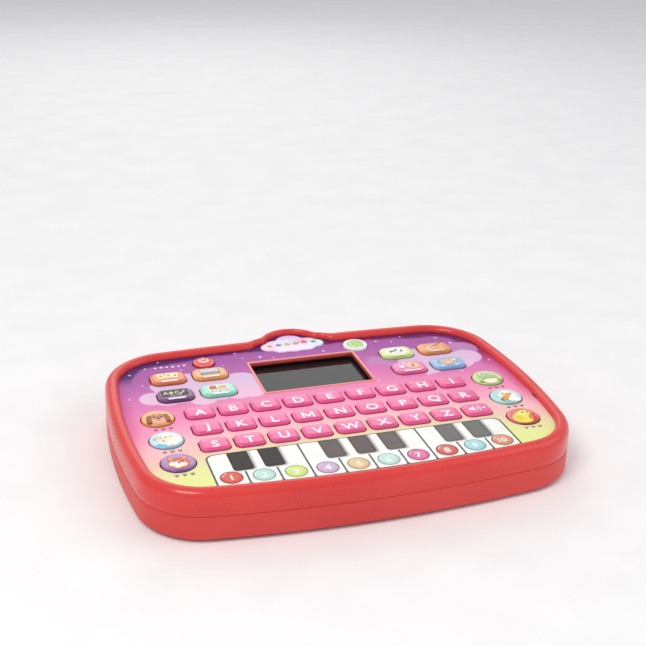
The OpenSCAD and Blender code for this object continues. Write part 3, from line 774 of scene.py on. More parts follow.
tracks = Solid()
brown = ink("#6d4650", 0.4)


def paw(s, x, y, k=1.0):
    s.flat(ellipse(x, y - 0.35 * k, 0.85 * k, 0.68 * k), 24.03, brown, t=0.02)
    for dx, dy in ((-0.95, 0.45), (-0.35, 0.95), (0.35, 0.95), (0.95, 0.45)):
        s.flat(circle(x + dx * k, y + dy * k, 0.3 * k, 12), 24.03, brown, t=0.02)


def hoof(s, x, y):
    for d in (-1, 1):
        s.flat(ellipse(x + d * 0.5, y, 0.42, 1.05, d * -10), 24.03, brown, t=0.02)


def claw(s, x, y, web=False):
    for a in (-38, 0, 38):
        p = [(x, y - 0.9), (x + 1.7 * math.sin(math.radians(a)), y - 0.9 + 1.9 * math.cos(math.radians(a)))]
        s.strip(p, 0.42, 24.03, brown, t=0.02)
        s.flat(circle(p[1][0], p[1][1], 0.27, 10), 24.032, brown, t=0.02)
    if web:
        s.flat([(x, y - 0.9), (x + 1.0, y + 0.35), (x, y + 0.55), (x - 1.0, y + 0.35)], 24.028, brown, t=0.02)


for key, (x, y) in ANIMALS.items():
    for j in (-1, 0, 1):
        px, py = x + 3.7 * j + (0.8 if x < 0 else 0.2), y - 10.9
        if key in ("dog_key", "cat_key"):
            paw(tracks, px, py)
        elif key == "sheep_key":
            hoof(tracks, px, py)
        elif key in ("duck_key", "frog_key"):
            claw(tracks, px, py, True)
        else:
            claw(tracks, px, py)
tracks.make("animal_track_print", "housing")


# ------------------------------------------------------------------ crest badge
def badge_material():
    g = Graph("badge_pearl")
    v = g.mm()
    x, y, z = g.xyz(v)
    flat = g.vec(x, y, 0.0)
    base = g.mix(g.smooth(y, 60, 78), lin("#f3e3f7"), lin("#cdb6e6"))

    def lobe(col, cx, cy, r, tone, soft=1.2, s=0.9):
        return g.mix(g.math('MULTIPLY', g.smooth(g.dist(flat, (cx, cy, 0)), r - soft, r, 1.0, 0.0), s), col, lin(tone))

    col = lobe(base, -13, 66.2, 5.0, "#f6cfe0")
    col = lobe(col, 13.5, 67.0, 6.4, "#d3ecea")
    col = lobe(col, 7.0, 69.5, 4.4, "#f3a9c0")
    col = lobe(col, -5.5, 68.5, 5.6, "#e9def6")
    rim = g.noise(g.coord(), 400, 2.0)
    col = g.mix(g.smooth(rim, 0.4, 0.8, 0, 0.06), col, lin("#ffffff"))
    g.base(col)
    g.set(rough=g.smooth(rim, 0.2, 0.8, 0.16, 0.26), coat=0.3, coat_rough=0.05, normal=g.bump(rim, 0.000008, 0.4))
    return g.m


def badge_outline(o, n=220):
    th = np.linspace(0, 2 * math.pi, n, endpoint=False)
    rad = None
    for cx, cy, r in ((0, 71.2, 8.5), (0, 66, 8.0), (9.2, 67.8, 6.6), (-9.2, 67.8, 6.6), (14, 66.4, 4.6), (-14, 66.4, 4.6), (7, 65, 6.6), (-7, 65, 6.6)):
        e = exit_dist(th, (cx, cy - 67.5), r + o)
        rad = e if rad is None else smax(rad, e, 1.4)
    return [(float(q * math.cos(t)), 67.5 + float(q * math.sin(t))) for q, t in zip(rad, th)]


badge = Solid()
pearl = badge_material()
badge.loft([[(x, y, z) for x, y in badge_outline(o)] for o, z in
            ((-0.1, 23.96), (-0.1, 24.3), (-0.18, 24.52), (-0.4, 24.7), (-0.8, 24.8), (-1.5, 24.84), (-3.0, 24.86))], pearl, top=True)
badge = badge.make("crest_cloud", "housing", slot="badge", angle=50)
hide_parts("crest_badge")
charm = Solid()
for x, y, s, c in ((-13.3, 66.8, 2.0, "#e58a72"), (-8.0, 67.2, 2.3, "#7d74b8"), (-2.9, 67.2, 2.5, "#c9b76a"), (2.3, 67.2, 2.5, "#b7a34e"), (7.2, 68.2, 2.5, "#d7456e"), (12.7, 67.2, 2.1, "#5c8fae")):
    charm.lump(star(x, y, s, s * 0.5, 5, 90), 24.86, 0.12, ink(c, 0.25), edge=0.2)
for x, y, r in ((-1.2, 72.8, 1.0), (3.0, 73.6, 0.6), (-5.6, 72.4, 0.7)):
    charm.flat(star(x, y, r * 1.5, r * 0.45, 4, 90), 24.88, ink("#ffffff", 0.25), t=0.03)
charm.make("crest_stars", "housing")


# ------------------------------------------------------------------ keys
def cap_rings(w, d, r, prof, n=6, mid=3):
    return [[(x, y, z) for x, y in rrect(w - 2 * e, d - 2 * e, max(r - e, 0.6), n=n, mid=mid)] for e, z in prof]


def under_cap(s, w, d, r, m):
    """Retaining flange and plunger below the cap, as in the CAD."""
    s.loft(cap_rings(w, d, r, [(-0.55, 20.3), (-0.7, 20.42), (-0.7, 21.3), (-0.62, 21.4), (0.2, 21.4)], n=4, mid=0), m, bottom=True)
    s.loft([[(x, y, z) for x, y in circle(0, 0, q, 20)] for q, z in ((2.0, 19.2), (2.2, 19.35), (2.2, 20.4))], m, bottom=True)


def under_round(s, r, m):
    s.loft([[(x, y, z) for x, y in circle(0, 0, q, 40)] for q, z in ((r + 0.5, 20.3), (r + 0.7, 20.42), (r + 0.7, 21.3), (r + 0.6, 21.4), (r - 0.3, 21.4))], m, bottom=True)
    s.loft([[(x, y, z) for x, y in circle(0, 0, q, 20)] for q, z in ((2.0, 19.2), (2.2, 19.35), (2.2, 20.4))], m, bottom=True)


def cap_material(name, hexes, d, rough=0.2, top_highlight=0.3, coat=0.5):
    """Glossy cap: painted shade makes it a little deeper towards its front wall and down its sides, a painted highlight
    makes it paler over the back of its top, fine flow marks.
    """
    g = Graph(name)
    c = g.coord()
    x, y, z = g.xyz(g.mm())
    # hexes: cap colour, painted-shade tone, painted-highlight tone
    mid, deep, highlight_c = hexes
    slow = g.noise(c, 120, 3.0, 0.55, 0.4)
    fine = g.noise(c, 1700, 2.0)
    col = g.mix(g.smooth(slow, 0.3, 0.7), lin(mid, 0.96), lin(mid, 1.05))
    # painted highlight: paler over the back of the top
    col = g.mix(g.smooth(y, -d * 0.05, d * 0.5, 0.0, top_highlight), col, lin(highlight_c))
    # painted shade: deeper towards the front wall
    col = g.mix(g.smooth(y, -d * 0.2, -d * 0.5, 0.0, 0.8), col, lin(deep))
    # painted shade: darker down the sides below the top
    col = g.mix(g.smooth(z, 23.4, 24.9, 0.8, 0.0), col, lin(deep, 0.62))
    g.base(col)
    g.set(rough=g.smooth(fine, 0.25, 0.75, rough - 0.04, rough + 0.06), coat=coat, coat_rough=0.05,
          normal=g.bump(g.math('ADD', fine, g.math('MULTIPLY', slow, 2.0)), 0.00002, 0.35))
    return g.m


# pink cap: colour, painted-shade tone, painted-highlight tone
key_mat_pink = cap_material("key_pink_gloss", ("#f0639c", "#de4a88", "#f7a6c8"), 11.6, top_highlight=0.5, coat=0.35)
LETTER_PROF = [(0.0, 20.9), (0.0, 23.4), (0.0, 24.55), (0.05, 24.82), (0.16, 25.02), (0.34, 25.16), (0.56, 25.23), (0.74, 25.27), (0.88, 25.38),
               (1.04, 25.52), (1.26, 25.62), (1.6, 25.67), (2.4, 25.69), (3.6, 25.7), (5.2, 25.7)]
for name, (kx, ky) in KEYS.items():
    s = Solid()
    s.loft(cap_rings(14.4, 11.6, 3.0, LETTER_PROF), key_mat_pink, top=True)
    under_cap(s, 14.4, 11.6, 3.0, key_mat_pink)
    cap = s.make(name.replace("key_", "cap_"), name, at=(kx, ky, 0), slot="key_pink", angle=60)
    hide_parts(name)
    leg = Solid()
    if name != "key_volume":
        if name[-1] == "m":
            w2, h2, t2 = 3.15, 2.95, 0.95
            leg.flat([(x, y - 1.35) for x, y in ((-w2, -h2), (-w2 + t2, -h2), (-w2 + t2, h2 - 2.5), (-0.38, -h2 + 1.0), (0.38, -h2 + 1.0), (w2 - t2, h2 - 2.5),
                                                (w2 - t2, -h2), (w2, -h2), (w2, h2), (w2 - 1.0, h2), (0.0, -0.6), (-w2 + 1.0, h2), (-w2, h2))][::1], 25.78, white_ink, t=0.12)
        else:
            me = text_mesh(name[-1].upper(), 8.3, 0.12, 0.09, 0.03)
            leg.mesh(me, white_ink, lambda a, b, c2: (a, b - 1.35, 25.68 + c2))
    else:
        leg.flat([(-4.4, -1.15), (-3.0, -1.15), (-1.3, -2.7), (-1.3, 2.2), (-3.0, 0.75), (-4.4, 0.75)], 25.78, white_ink, t=0.12)
        leg.strip(arc_pts(-1.2, -0.2, 1.6, -48, 48, 10), 0.6, 25.78, white_ink, t=0.12)
        leg.strip(arc_pts(-1.2, -0.2, 2.9, -50, 50, 12), 0.6, 25.78, white_ink, t=0.12)
        leg.flat(rrect(2.2, 0.6, 0.2, 3.9, -0.2), 25.78, white_ink, t=0.12)
        leg.flat(rrect(0.6, 2.2, 0.2, 3.9, -0.2), 25.779, white_ink, t=0.12)
    leg.make(name.replace("key_", "legend_"), name, at=(kx, ky, 0), angle=30)

MODE_PROF = [(0.0, 20.9), (0.0, 23.4), (0.0, 24.6), (0.06, 24.9), (0.2, 25.12), (0.42, 25.27), (0.66, 25.33), (0.84, 25.37), (1.0, 25.5), (1.2, 25.65),
             (1.5, 25.74), (2.0, 25.78), (3.0, 25.8), (4.4, 25.8), (6.0, 25.8)]
# each triple: cap colour, painted-shade tone, painted-highlight tone
MODE_COL = {
    "mode_card_key": ("#f28a55", "#b8502c", "#f7b48c"), "mode_book_key": ("#f4ae68", "#c2763a", "#f8cfa6"),
    "mode_film_key": ("#dcee9c", "#a9c06a", "#f2f6dc"), "mode_music_key": ("#f3a05f", "#b86a3c", "#f6bfa0"),
    "mode_slate_key": ("#8a5688", "#4e2456", "#a884a8"), "mode_piano_key": ("#a5e6cf", "#74b8a4", "#d6f2e6"),
    "mode_quiz_key": ("#f07fb0", "#cc4a7e", "#f6b2cf"), "mode_farm_key": ("#9dc3e6", "#6f90c4", "#c6dbee"),
}
TZ = 25.83


def label(s, m, y=-3.5, w=7.6):
    """A small white bar in place of words."""
    s.flat(rrect(w * 1.08, 1.55, 0.7, 0, y - 0.1), TZ, m, t=0.05)


def icon_card(s):
    card, edge_c, mark = ink("#f8f0bf"), ink("#b9713f"), ink("#d9754a")
    for cx, cy, rot in ((-3.2, 1.6, 7), (0.6, 1.9, -3), (3.6, 1.5, -10)):
        s.flat(rrect(3.4, 4.8, 0.5, cx + 0.25, cy - 0.35, rot=rot), TZ - 0.01 + cx * 0.001, edge_c, t=0.04)
        s.flat(rrect(3.4, 4.8, 0.5, cx, cy, rot=rot), TZ + 0.02 + cx * 0.002, card, t=0.04)
    s.flat(circle(-3.2, 1.8, 0.85, 18), TZ + 0.04, mark, t=0.03)
    s.flat(star(0.6, 2.0, 1.15, 0.5), TZ + 0.05, ink("#7a9f56"), t=0.03)
    s.flat([(2.7, 0.7), (4.5, 0.55), (3.75, 2.4)], TZ + 0.06, ink("#7a7fb8"), t=0.03)
    label(s, ink("#fbe3d8"))


def icon_book(s):
    s.flat(rrect(9.8, 6.2, 0.7, 0.1, 1.3), TZ, ink("#8f7d80"), t=0.05)
    s.flat(rrect(8.9, 5.2, 0.4, 0.0, 1.45), TZ + 0.02, ink("#e9e2ee"), t=0.04)
    s.flat(rrect(8.9, 1.9, 0.3, 0.0, -0.35), TZ + 0.035, ink("#8f9088"), t=0.03)
    s.flat(rrect(8.4, 0.5, 0.2, 0.0, 0.95), TZ + 0.04, ink("#b7a9bb"), t=0.03)
    s.flat(rrect(3.6, 1.3, 0.3, -1.9, 2.8), TZ + 0.04, ink("#c9c6dc"), t=0.03)
    s.strip([(-0.4, 3.6), (1.2, 2.2), (3.8, 2.9)], 0.45, TZ + 0.045, ink("#e1859a"), t=0.03)
    for i in range(6):
        s.flat(rrect(0.9, 0.55, 0.15, -3.3 + 1.32 * i, -0.3), TZ + 0.05, ink("#c2c3ba"), t=0.02)
    label(s, ink("#fbe9d2"))


def icon_film(s):
    white = ink("#fdf8f3")
    for cx, cy, rx, ry in ((-2.6, 0.9, 3.3, 3.0), (2.4, 1.2, 3.6, 3.1), (0, 2.4, 3.6, 2.6), (0, -0.6, 4.3, 2.2)):
        s.flat(ellipse(cx, cy, rx, ry), TZ + (cx + 3) * 0.001, white, t=0.05)
    for cx, cy, k, rot in ((-3.0, 0.4, 1.0, -22), (0.1, 1.9, 1.05, -24), (2.7, 0.3, 1.0, -30)):
        s.flat(ellipse(cx, cy, 0.62 * k, 1.35 * k, rot), TZ + 0.03, ink("#6c6a5e"), t=0.03)
        s.flat(circle(cx + 0.15, cy + 0.5, 0.22, 10), TZ + 0.045, white, t=0.02)
    s.strip(arc_pts(0.0, -0.2, 1.9, 215, 325, 10, ry=1.0), 0.3, TZ + 0.03, ink("#a3b07a"), t=0.03)
    label(s, ink("#eef6d2"), y=-4.0, w=6.6)


def icon_music(s):
    body, wood, deep = ink("#fbd6c8"), ink("#8c4a34"), ink("#b5703f")
    s.flat(ellipse(-3.0, -0.6, 2.6, 2.1, 40), TZ, deep, t=0.04)
    s.flat(ellipse(-3.0, -0.45, 2.3, 1.8, 40), TZ + 0.02, body, t=0.04)
    s.flat(ellipse(-0.9, 0.9, 1.8, 1.5, 40), TZ + 0.022, body, t=0.04)
    s.flat(circle(-2.1, 0.1, 0.75, 18), TZ + 0.04, wood, t=0.03)
    s.strip([(-1.2, 0.6), (1.4, 2.2), (4.2, 4.2)], 1.0, TZ + 0.045, wood, t=0.04)
    s.flat(rrect(2.1, 1.3, 0.4, 4.3, 4.2, rot=36), TZ + 0.06, deep, t=0.03)
    for k in (-0.22, 0.22):
        s.strip([(-3.6, -1.2 + k), (3.6, 3.8 + k)], 0.1, TZ + 0.07, body, t=0.02)
    s.flat(ellipse(3.4, -0.8, 0.75, 0.55, 20), TZ + 0.02, body, t=0.03)
    s.strip([(4.0, -0.7), (4.0, 1.7), (5.2, 1.2)], 0.32, TZ + 0.02, body, t=0.03)
    label(s, ink("#f8d8c4"))


def icon_slate(s):
    s.flat(rrect(13.2, 6.6, 0.9, -0.2, 1.1), TZ, ink("#6d4a34"), t=0.05)
    s.flat(rrect(12.3, 5.7, 0.5, -0.2, 1.1), TZ + 0.02, ink("#2b2326"), t=0.04)
    chalk = ink("#efe6c0")
    for j, ch in enumerate("ABC"):
        me = text_mesh(ch, 3.4, 0.1, 0.012)
        s.mesh(me, chalk, lambda a, b, c2, j=j: (a - 4.4 + 2.7 * j, b + 1.5 - 0.15 * (j % 2), TZ + 0.035 + c2))
    s.strip([(2.1, -0.6), (4.8, 2.9)], 0.65, TZ + 0.05, chalk, t=0.03)
    s.strip(arc_pts(0.2, -0.9, 2.8, 200, 330, 8, ry=0.35), 0.25, TZ + 0.04, chalk, t=0.02)
    label(s, ink("#f0e2fa"), y=-3.9, w=7.8)


def icon_piano(s):
    lid, red, cream = ink("#f3b57e"), ink("#c9694c"), ink("#fdf4d6")
    s.flat([(-4.6, -0.6), (-4.6, 3.4), (-3.4, 4.2), (-0.6, 4.4), (1.0, 3.6), (2.2, 4.3), (4.4, 3.9), (5.0, 2.6), (4.6, 0.6), (4.7, -0.9), (-3.8, -1.1)], TZ, ink("#fdf6ea"), t=0.05)
    s.flat([(-4.1, -0.1), (-4.1, 3.2), (-3.1, 3.7), (-0.9, 3.9), (-0.4, 1.2), (-0.6, -0.1)], TZ + 0.02, red, t=0.04)
    s.flat([(-0.1, 0.0), (0.3, 3.1), (1.2, 3.1), (2.3, 3.7), (4.0, 3.3), (4.4, 2.3), (4.0, 0.5), (4.1, 0.0)], TZ + 0.02, lid, t=0.04)
    s.flat(rrect(8.6, 1.3, 0.2, 0.2, -0.5), TZ + 0.03, cream, t=0.03)
    for i in range(7):
        s.flat(rrect(0.35, 0.75, 0.08, -3.2 + 1.15 * i, -0.22), TZ + 0.045, ink("#5c4a44"), t=0.02)
    for lx in (-3.4, 0.4, 3.8):
        s.flat(rrect(0.5, 1.3, 0.15, lx, -1.7), TZ + 0.01, ink("#a08a7a"), t=0.03)
    label(s, ink("#f6fffb"), y=-4.0)


def icon_quiz(s):
    s.flat(circle(1.9, 1.2, 3.7, 30), TZ, ink("#e8889a"), t=0.04)
    s.flat(circle(1.9, 1.3, 3.35, 30), TZ + 0.02, ink("#fac7a4"), t=0.04)
    s.flat(ellipse(0.9, 2.6, 0.9, 0.55, 35), TZ + 0.04, ink("#fff0e4"), t=0.03)
    me = text_mesh("?", 5.0, 0.2, 0.015)
    s.mesh(me, ink("#d4577f"), lambda a, b, c2: (a + 2.1, b + 1.1, TZ + 0.045 + c2))
    s.flat(ellipse(-4.0, 0.6, 2.5, 2.1, 20), TZ + 0.01, ink("#d15f96"), t=0.04)
    s.flat(ellipse(-4.0, 0.8, 2.1, 1.7, 20), TZ + 0.03, ink("#f7d0ee"), t=0.03)
    s.flat(star(-4.0, 0.8, 1.2, 0.5), TZ + 0.045, ink("#fffaff"), t=0.02)
    s.flat(star(-1.7, 3.6, 1.5, 0.5, 4), TZ + 0.045, ink("#fff6ff"), t=0.02)
    label(s, ink("#fcdcea"), y=-4.0, w=8.2)


def icon_farm(s):
    bluegrey, tan, deep = ink("#8a97a8"), ink("#f8c79c"), ink("#c98a5e")
    s.flat(ellipse(-0.3, 0.2, 5.6, 3.6), TZ, bluegrey, t=0.04)
    s.flat(ellipse(-0.3, 0.2, 5.1, 3.2), TZ + 0.015, ink("#aebfd2"), t=0.04)
    s.flat(ellipse(0.2, 0.6, 3.0, 2.7), TZ + 0.03, deep, t=0.03)
    s.flat(ellipse(0.2, 0.75, 2.7, 2.4), TZ + 0.045, tan, t=0.03)
    for d in (-1, 1):
        s.flat(ellipse(0.2 + d * 2.7, 2.4, 1.0, 0.65, d * 35), TZ + 0.04, tan, t=0.03)
        s.flat(ellipse(0.2 + d * 1.0, 1.4, 0.3, 0.45), TZ + 0.065, ink("#5a4438"), t=0.02)
        s.flat(ellipse(0.2 + d * 0.55, -0.35, 0.2, 0.3), TZ + 0.085, ink("#a5664c"), t=0.02)
        s.flat(ellipse(-0.3 + d * 3.6, -3.2, 0.95, 0.75), TZ + 0.03, ink("#f4f7fb"), t=0.03)
    s.flat(ellipse(0.2, -0.3, 1.5, 0.95), TZ + 0.065, ink("#fde0c6"), t=0.03)
    s.flat(ellipse(3.9, 2.0, 1.3, 0.8, 30), TZ + 0.03, ink("#f0efe6"), t=0.03)


ICONS = {"mode_card_key": icon_card, "mode_book_key": icon_book, "mode_film_key": icon_film, "mode_music_key": icon_music,
         "mode_slate_key": icon_slate, "mode_piano_key": icon_piano, "mode_quiz_key": icon_quiz, "mode_farm_key": icon_farm}
SLOTS = {"mode_card_key": "mode_orange", "mode_book_key": "mode_amber", "mode_film_key": "mode_lime", "mode_music_key": "mode_tangerine",
         "mode_slate_key": "mode_violet", "mode_piano_key": "mode_mint", "mode_quiz_key": "mode_rose", "mode_farm_key": "mode_blue",
         "dog_key": "dog_amber", "sheep_key": "sheep_sky", "cat_key": "cat_violet", "frog_key": "frog_lime", "duck_key": "duck_teal", "bird_key": "bird_coral"}
for name, (kx, ky) in MODES.items():
    m = cap_material(name.replace("_key", "_gloss"), MODE_COL[name], 13.4, top_highlight=0.4)
    s = Solid()
    s.loft(cap_rings(18.8, 13.4, 4.6, MODE_PROF, n=8), m, top=True)
    under_cap(s, 18.8, 13.4, 4.6, m)
    cap = s.make(name.replace("_key", "_cap"), name, at=(kx, ky, 0), slot=SLOTS[name], angle=60)
    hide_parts(name)
    s = Solid()
    ICONS[name](s)
    s.v = [(x * 1.1 - 0.15, y * 1.14 - 0.55, z) for x, y, z in s.v]
    s.make(name.replace("_key", "_icon"), name, at=(kx, ky, 0), angle=30)

# ------------------------------------------------------------------ animal keys
DISC_PROF = [(0.0, 20.9), (0.0, 23.6), (0.02, 24.2), (0.1, 24.52), (0.3, 24.78), (0.62, 24.96), (1.1, 25.06), (1.6, 25.08), (1.9, 25.02), (2.3, 25.02), (4.5, 25.1), (7.4, 25.16)]
# each triple: cap colour, painted-shade tone, painted-highlight tone
AN_COL = {"dog_key": ("#f6b25c", "#c9803a", "#fbd6a0"), "sheep_key": ("#bfe3ee", "#7fa8bc", "#e6f4f8"), "cat_key": ("#a878bc", "#5c3a78", "#cfa8d8"),
          "frog_key": ("#d0e694", "#98b866", "#f0f6cc"), "duck_key": ("#b8e8e0", "#82b8b4", "#e2f6f2"), "bird_key": ("#ee6f72", "#8f2c34", "#f8a8a4")}
AZ = 25.06


def ear_tri(cx, cy, w, h, rot):
    c, s_ = math.cos(math.radians(rot)), math.sin(math.radians(rot))
    pts = [(-w / 2, 0), (w / 2, 0), (w * 0.28, h * 0.55), (0.0, h), (-w * 0.28, h * 0.55)]
    return [(cx + x * c - y * s_, cy + x * s_ + y * c) for x, y in pts]


def eyes(s, pts, z, r=0.6, colour="#3a2620", glint=True):
    for x, y in pts:
        s.blob(x, y, r * 0.85, r * 1.15, z, 0.18, ink(colour, 0.2), n=14)
        if glint:
            s.flat(circle(x + r * 0.25, y + r * 0.4, r * 0.28, 8), z + 0.2, ink("#ffffff", 0.2), t=0.03)


def art_dog(s):
    s.blob(0, -0.7, 5.0, 5.3, AZ, 0.42, ink("#f39a72", 0.3))
    s.blob(0, 2.0, 3.7, 2.9, AZ + 0.2, 0.3, ink("#b96a50", 0.3))
    s.blob(0, 3.0, 1.5, 1.6, AZ + 0.3, 0.26, ink("#e0936f", 0.3))
    for d in (-1, 1):
        s.blob(d * 4.5, -0.4, 1.45, 4.7, AZ + 0.12, 0.42, ink("#96522f", 0.3), rot=d * 6)
        s.blob(d * 4.8, -3.8, 1.3, 1.3, AZ + 0.22, 0.4, ink("#84381e", 0.3))
    s.blob(0, -2.9, 3.3, 2.5, AZ + 0.2, 0.42, ink("#f7b394", 0.3))
    s.blob(0, -1.1, 1.05, 0.75, AZ + 0.5, 0.2, ink("#5c2a1c", 0.2), n=16)
    s.strip([(0, -1.8), (0, -2.7)], 0.22, AZ + 0.7, ink("#8c3e28"), t=0.2)
    s.strip(arc_pts(-0.9, -2.7, 0.9, 180, 360, 8, ry=0.7), 0.22, AZ + 0.68, ink("#8c3e28"), t=0.2)
    s.strip(arc_pts(0.9, -2.7, 0.9, 180, 360, 8, ry=0.7), 0.22, AZ + 0.68, ink("#8c3e28"), t=0.2)
    eyes(s, [(-1.75, 0.9), (1.75, 0.9)], AZ + 0.46)


def art_sheep(s):
    wool = ink("#faf7ec", 0.5)
    for i in range(9):
        a = 2 * math.pi * i / 9 + 0.2
        s.blob(1.2 + 4.3 * math.cos(a), 0.2 + 4.3 * math.sin(a), 2.1, 2.1, AZ, 0.42, wool, n=18)
    s.blob(1.2, 0.2, 4.6, 4.6, AZ + 0.02, 0.5, wool)
    s.blob(-1.6, 0.2, 2.9, 3.7, AZ + 0.3, 0.36, ink("#f3ead0", 0.35), rot=-8)
    for i in range(4):
        s.blob(-3.3 + 1.25 * i, 4.0 + 0.25 * math.sin(i * 2), 0.95, 0.85, AZ + 0.5, 0.22, wool, n=14)
    s.blob(-5.0, 1.6, 0.9, 1.6, AZ + 0.2, 0.35, ink("#e9dcc0", 0.35), rot=62)
    s.blob(2.0, 1.9, 0.9, 1.6, AZ + 0.5, 0.2, ink("#e9dcc0", 0.35), rot=-62)
    eyes(s, [(-2.8, 1.2), (-0.5, 1.4)], AZ + 0.6, 0.55, "#6b6a50")
    s.blob(-1.9, -1.2, 0.8, 0.5, AZ + 0.62, 0.14, ink("#c9a58c", 0.3), n=14)
    s.strip(arc_pts(-1.9, -1.8, 0.9, 200, 340, 8, ry=0.6), 0.2, AZ + 0.68, ink("#9a7a68"), t=0.15)
    s.blob(-3.6, -4.6, 1.9, 1.2, AZ, 0.4, ink("#6fd3e6", 0.3), rot=-30)
    s.blob(-1.6, -5.2, 1.4, 1.0, AZ, 0.38, ink("#84dbe9", 0.3), rot=25)


def art_cat(s):
    fur, dark, white = ink("#ea7a48", 0.35), ink("#c04a30", 0.35), ink("#fdf1e2", 0.35)
    for d in (-1, 1):
        s.lump(ear_tri(d * 3.1, 2.4, 3.4, 4.0, -d * 16), AZ, 0.34, fur, edge=0.3)
        s.lump(ear_tri(d * 3.1, 2.8, 1.8, 2.4, -d * 16), AZ + 0.26, 0.14, ink("#f6b0a0", 0.35), edge=0.2)
    s.blob(0, -0.6, 5.3, 4.8, AZ, 0.46, fur)
    s.blob(-2.2, -1.2, 2.7, 2.3, AZ + 0.3, 0.3, white)
    s.blob(1.2, -2.5, 2.4, 1.9, AZ + 0.3, 0.3, white)
    s.blob(-1.0, -3.2, 1.6, 2.0, AZ + 0.25, 0.3, white)
    for x, y, r in ((0, 3.0, 0), (-1.3, 2.8, 12), (1.3, 2.8, -12)):
        s.blob(x, y, 0.33, 1.25, AZ + 0.38, 0.12, dark, rot=r, n=12)
    for d in (-1, 1):
        for k in (0, 1):
            s.blob(d * 4.5, -0.4 - 1.2 * k, 0.28, 1.0, AZ + 0.22, 0.14, dark, rot=d * (70 + 12 * k), n=12)
            s.strip([(d * 2.2, -2.0 - 0.6 * k), (d * 6.0, -1.9 - 1.3 * k)], 0.14, AZ + 0.62, white, t=0.08)
    eyes(s, [(-1.9, 0.6), (1.9, 0.6)], AZ + 0.48, 0.62, "#3b2a30")
    s.blob(-0.1, -1.2, 0.7, 0.45, AZ + 0.58, 0.14, ink("#c2474a", 0.25), n=14)


def art_frog(s):
    green, deep, belly = ink("#b6cf94", 0.3), ink("#8fa972", 0.3), ink("#fbfbd9", 0.35)
    s.blob(0, 0.2, 5.6, 4.6, AZ, 0.42, green)
    s.blob(0, -3.2, 3.9, 3.0, AZ + 0.12, 0.42, belly)
    for d in (-1, 1):
        s.blob(d * 2.7, 3.7, 1.9, 1.9, AZ + 0.1, 0.5, green, n=20)
        s.blob(d * 2.7, 3.8, 1.25, 1.3, AZ + 0.5, 0.22, ink("#fdfdf4", 0.25), n=18)
        s.blob(d * 2.5, 3.7, 0.6, 0.75, AZ + 0.68, 0.12, ink("#39402c", 0.2), n=14)
        s.blob(d * 5.0, -3.6, 1.5, 1.0, AZ, 0.4, deep, rot=d * 40, n=18)
        s.flat(circle(d * 0.6, 1.3, 0.2, 8), AZ + 0.5, deep, t=0.1)
        s.blob(d * 3.8, 0.4, 0.9, 0.6, AZ + 0.28, 0.16, ink("#f2b49c", 0.35), n=14)
    s.strip(arc_pts(0, 1.0, 3.6, 205, 335, 16, ry=2.4), 0.38, AZ + 0.56, ink("#6c8a56"), t=0.3)


def art_duck(s):
    white, bill, tip = ink("#fbf8ea", 0.35), ink("#f4b35c", 0.3), ink("#8d7a3c", 0.3)
    s.blob(0.9, 0.8, 5.0, 5.2, AZ, 0.46, white)
    s.blob(2.6, -3.6, 3.6, 2.6, AZ, 0.42, ink("#f6fbf6", 0.35), rot=-20)
    s.blob(2.0, 5.2, 0.7, 1.4, AZ + 0.1, 0.35, white, rot=-30, n=16)
    s.blob(0.6, 5.4, 0.6, 1.2, AZ + 0.1, 0.35, white, rot=15, n=16)
    s.blob(-0.6, -0.4, 1.9, 4.2, AZ + 0.32, 0.4, bill, rot=-42)
    s.blob(-2.2, -2.4, 1.9, 2.4, AZ + 0.34, 0.36, ink("#efa04a", 0.3), rot=-52)
    s.blob(-3.6, -3.1, 1.0, 0.8, AZ + 0.4, 0.26, tip, rot=-40, n=16)
    s.blob(-1.7, -4.6, 1.6, 1.1, AZ, 0.34, ink("#9cc4d8", 0.35), rot=-35)
    s.strip([(-3.4, -2.6), (-1.0, -0.9), (0.9, 0.7)], 0.2, AZ + 0.74, ink("#c77f34"), t=0.2)
    eyes(s, [(-1.3, 2.7), (2.7, 1.5)], AZ + 0.44, 0.6, "#3c3a3c")


def art_bird(s):
    yel, org, red = ink("#f6e75a", 0.35), ink("#e8843a", 0.3), ink("#d8433a", 0.3)
    s.blob(-1.0, -1.2, 5.6, 5.4, AZ, 0.44, yel)
    s.blob(0.9, 2.7, 3.6, 3.4, AZ + 0.12, 0.44, ink("#f8ec74", 0.35))
    s.blob(4.2, -3.4, 1.6, 2.9, AZ, 0.42, red, rot=-28)
    s.blob(2.9, -1.7, 1.5, 2.6, AZ + 0.24, 0.3, org, rot=-24)
    s.blob(4.9, 1.5, 1.5, 0.8, AZ + 0.2, 0.4, org, rot=-20, n=18)
    s.blob(4.5, 0.6, 1.1, 0.6, AZ + 0.2, 0.36, ink("#b8582c", 0.3), rot=-10, n=16)
    for i in range(3):
        s.blob(-0.4 + 0.9 * i, 6.0 - 0.15 * i, 0.42, 0.9, AZ + 0.1, 0.35, org, rot=20 - 20 * i, n=14)
    s.blob(-3.2, -1.8, 2.0, 2.7, AZ + 0.3, 0.26, ink("#ecd23e", 0.35), rot=30)
    eyes(s, [(0.3, 3.1), (2.9, 2.9)], AZ + 0.52, 0.6, "#4a3a20")


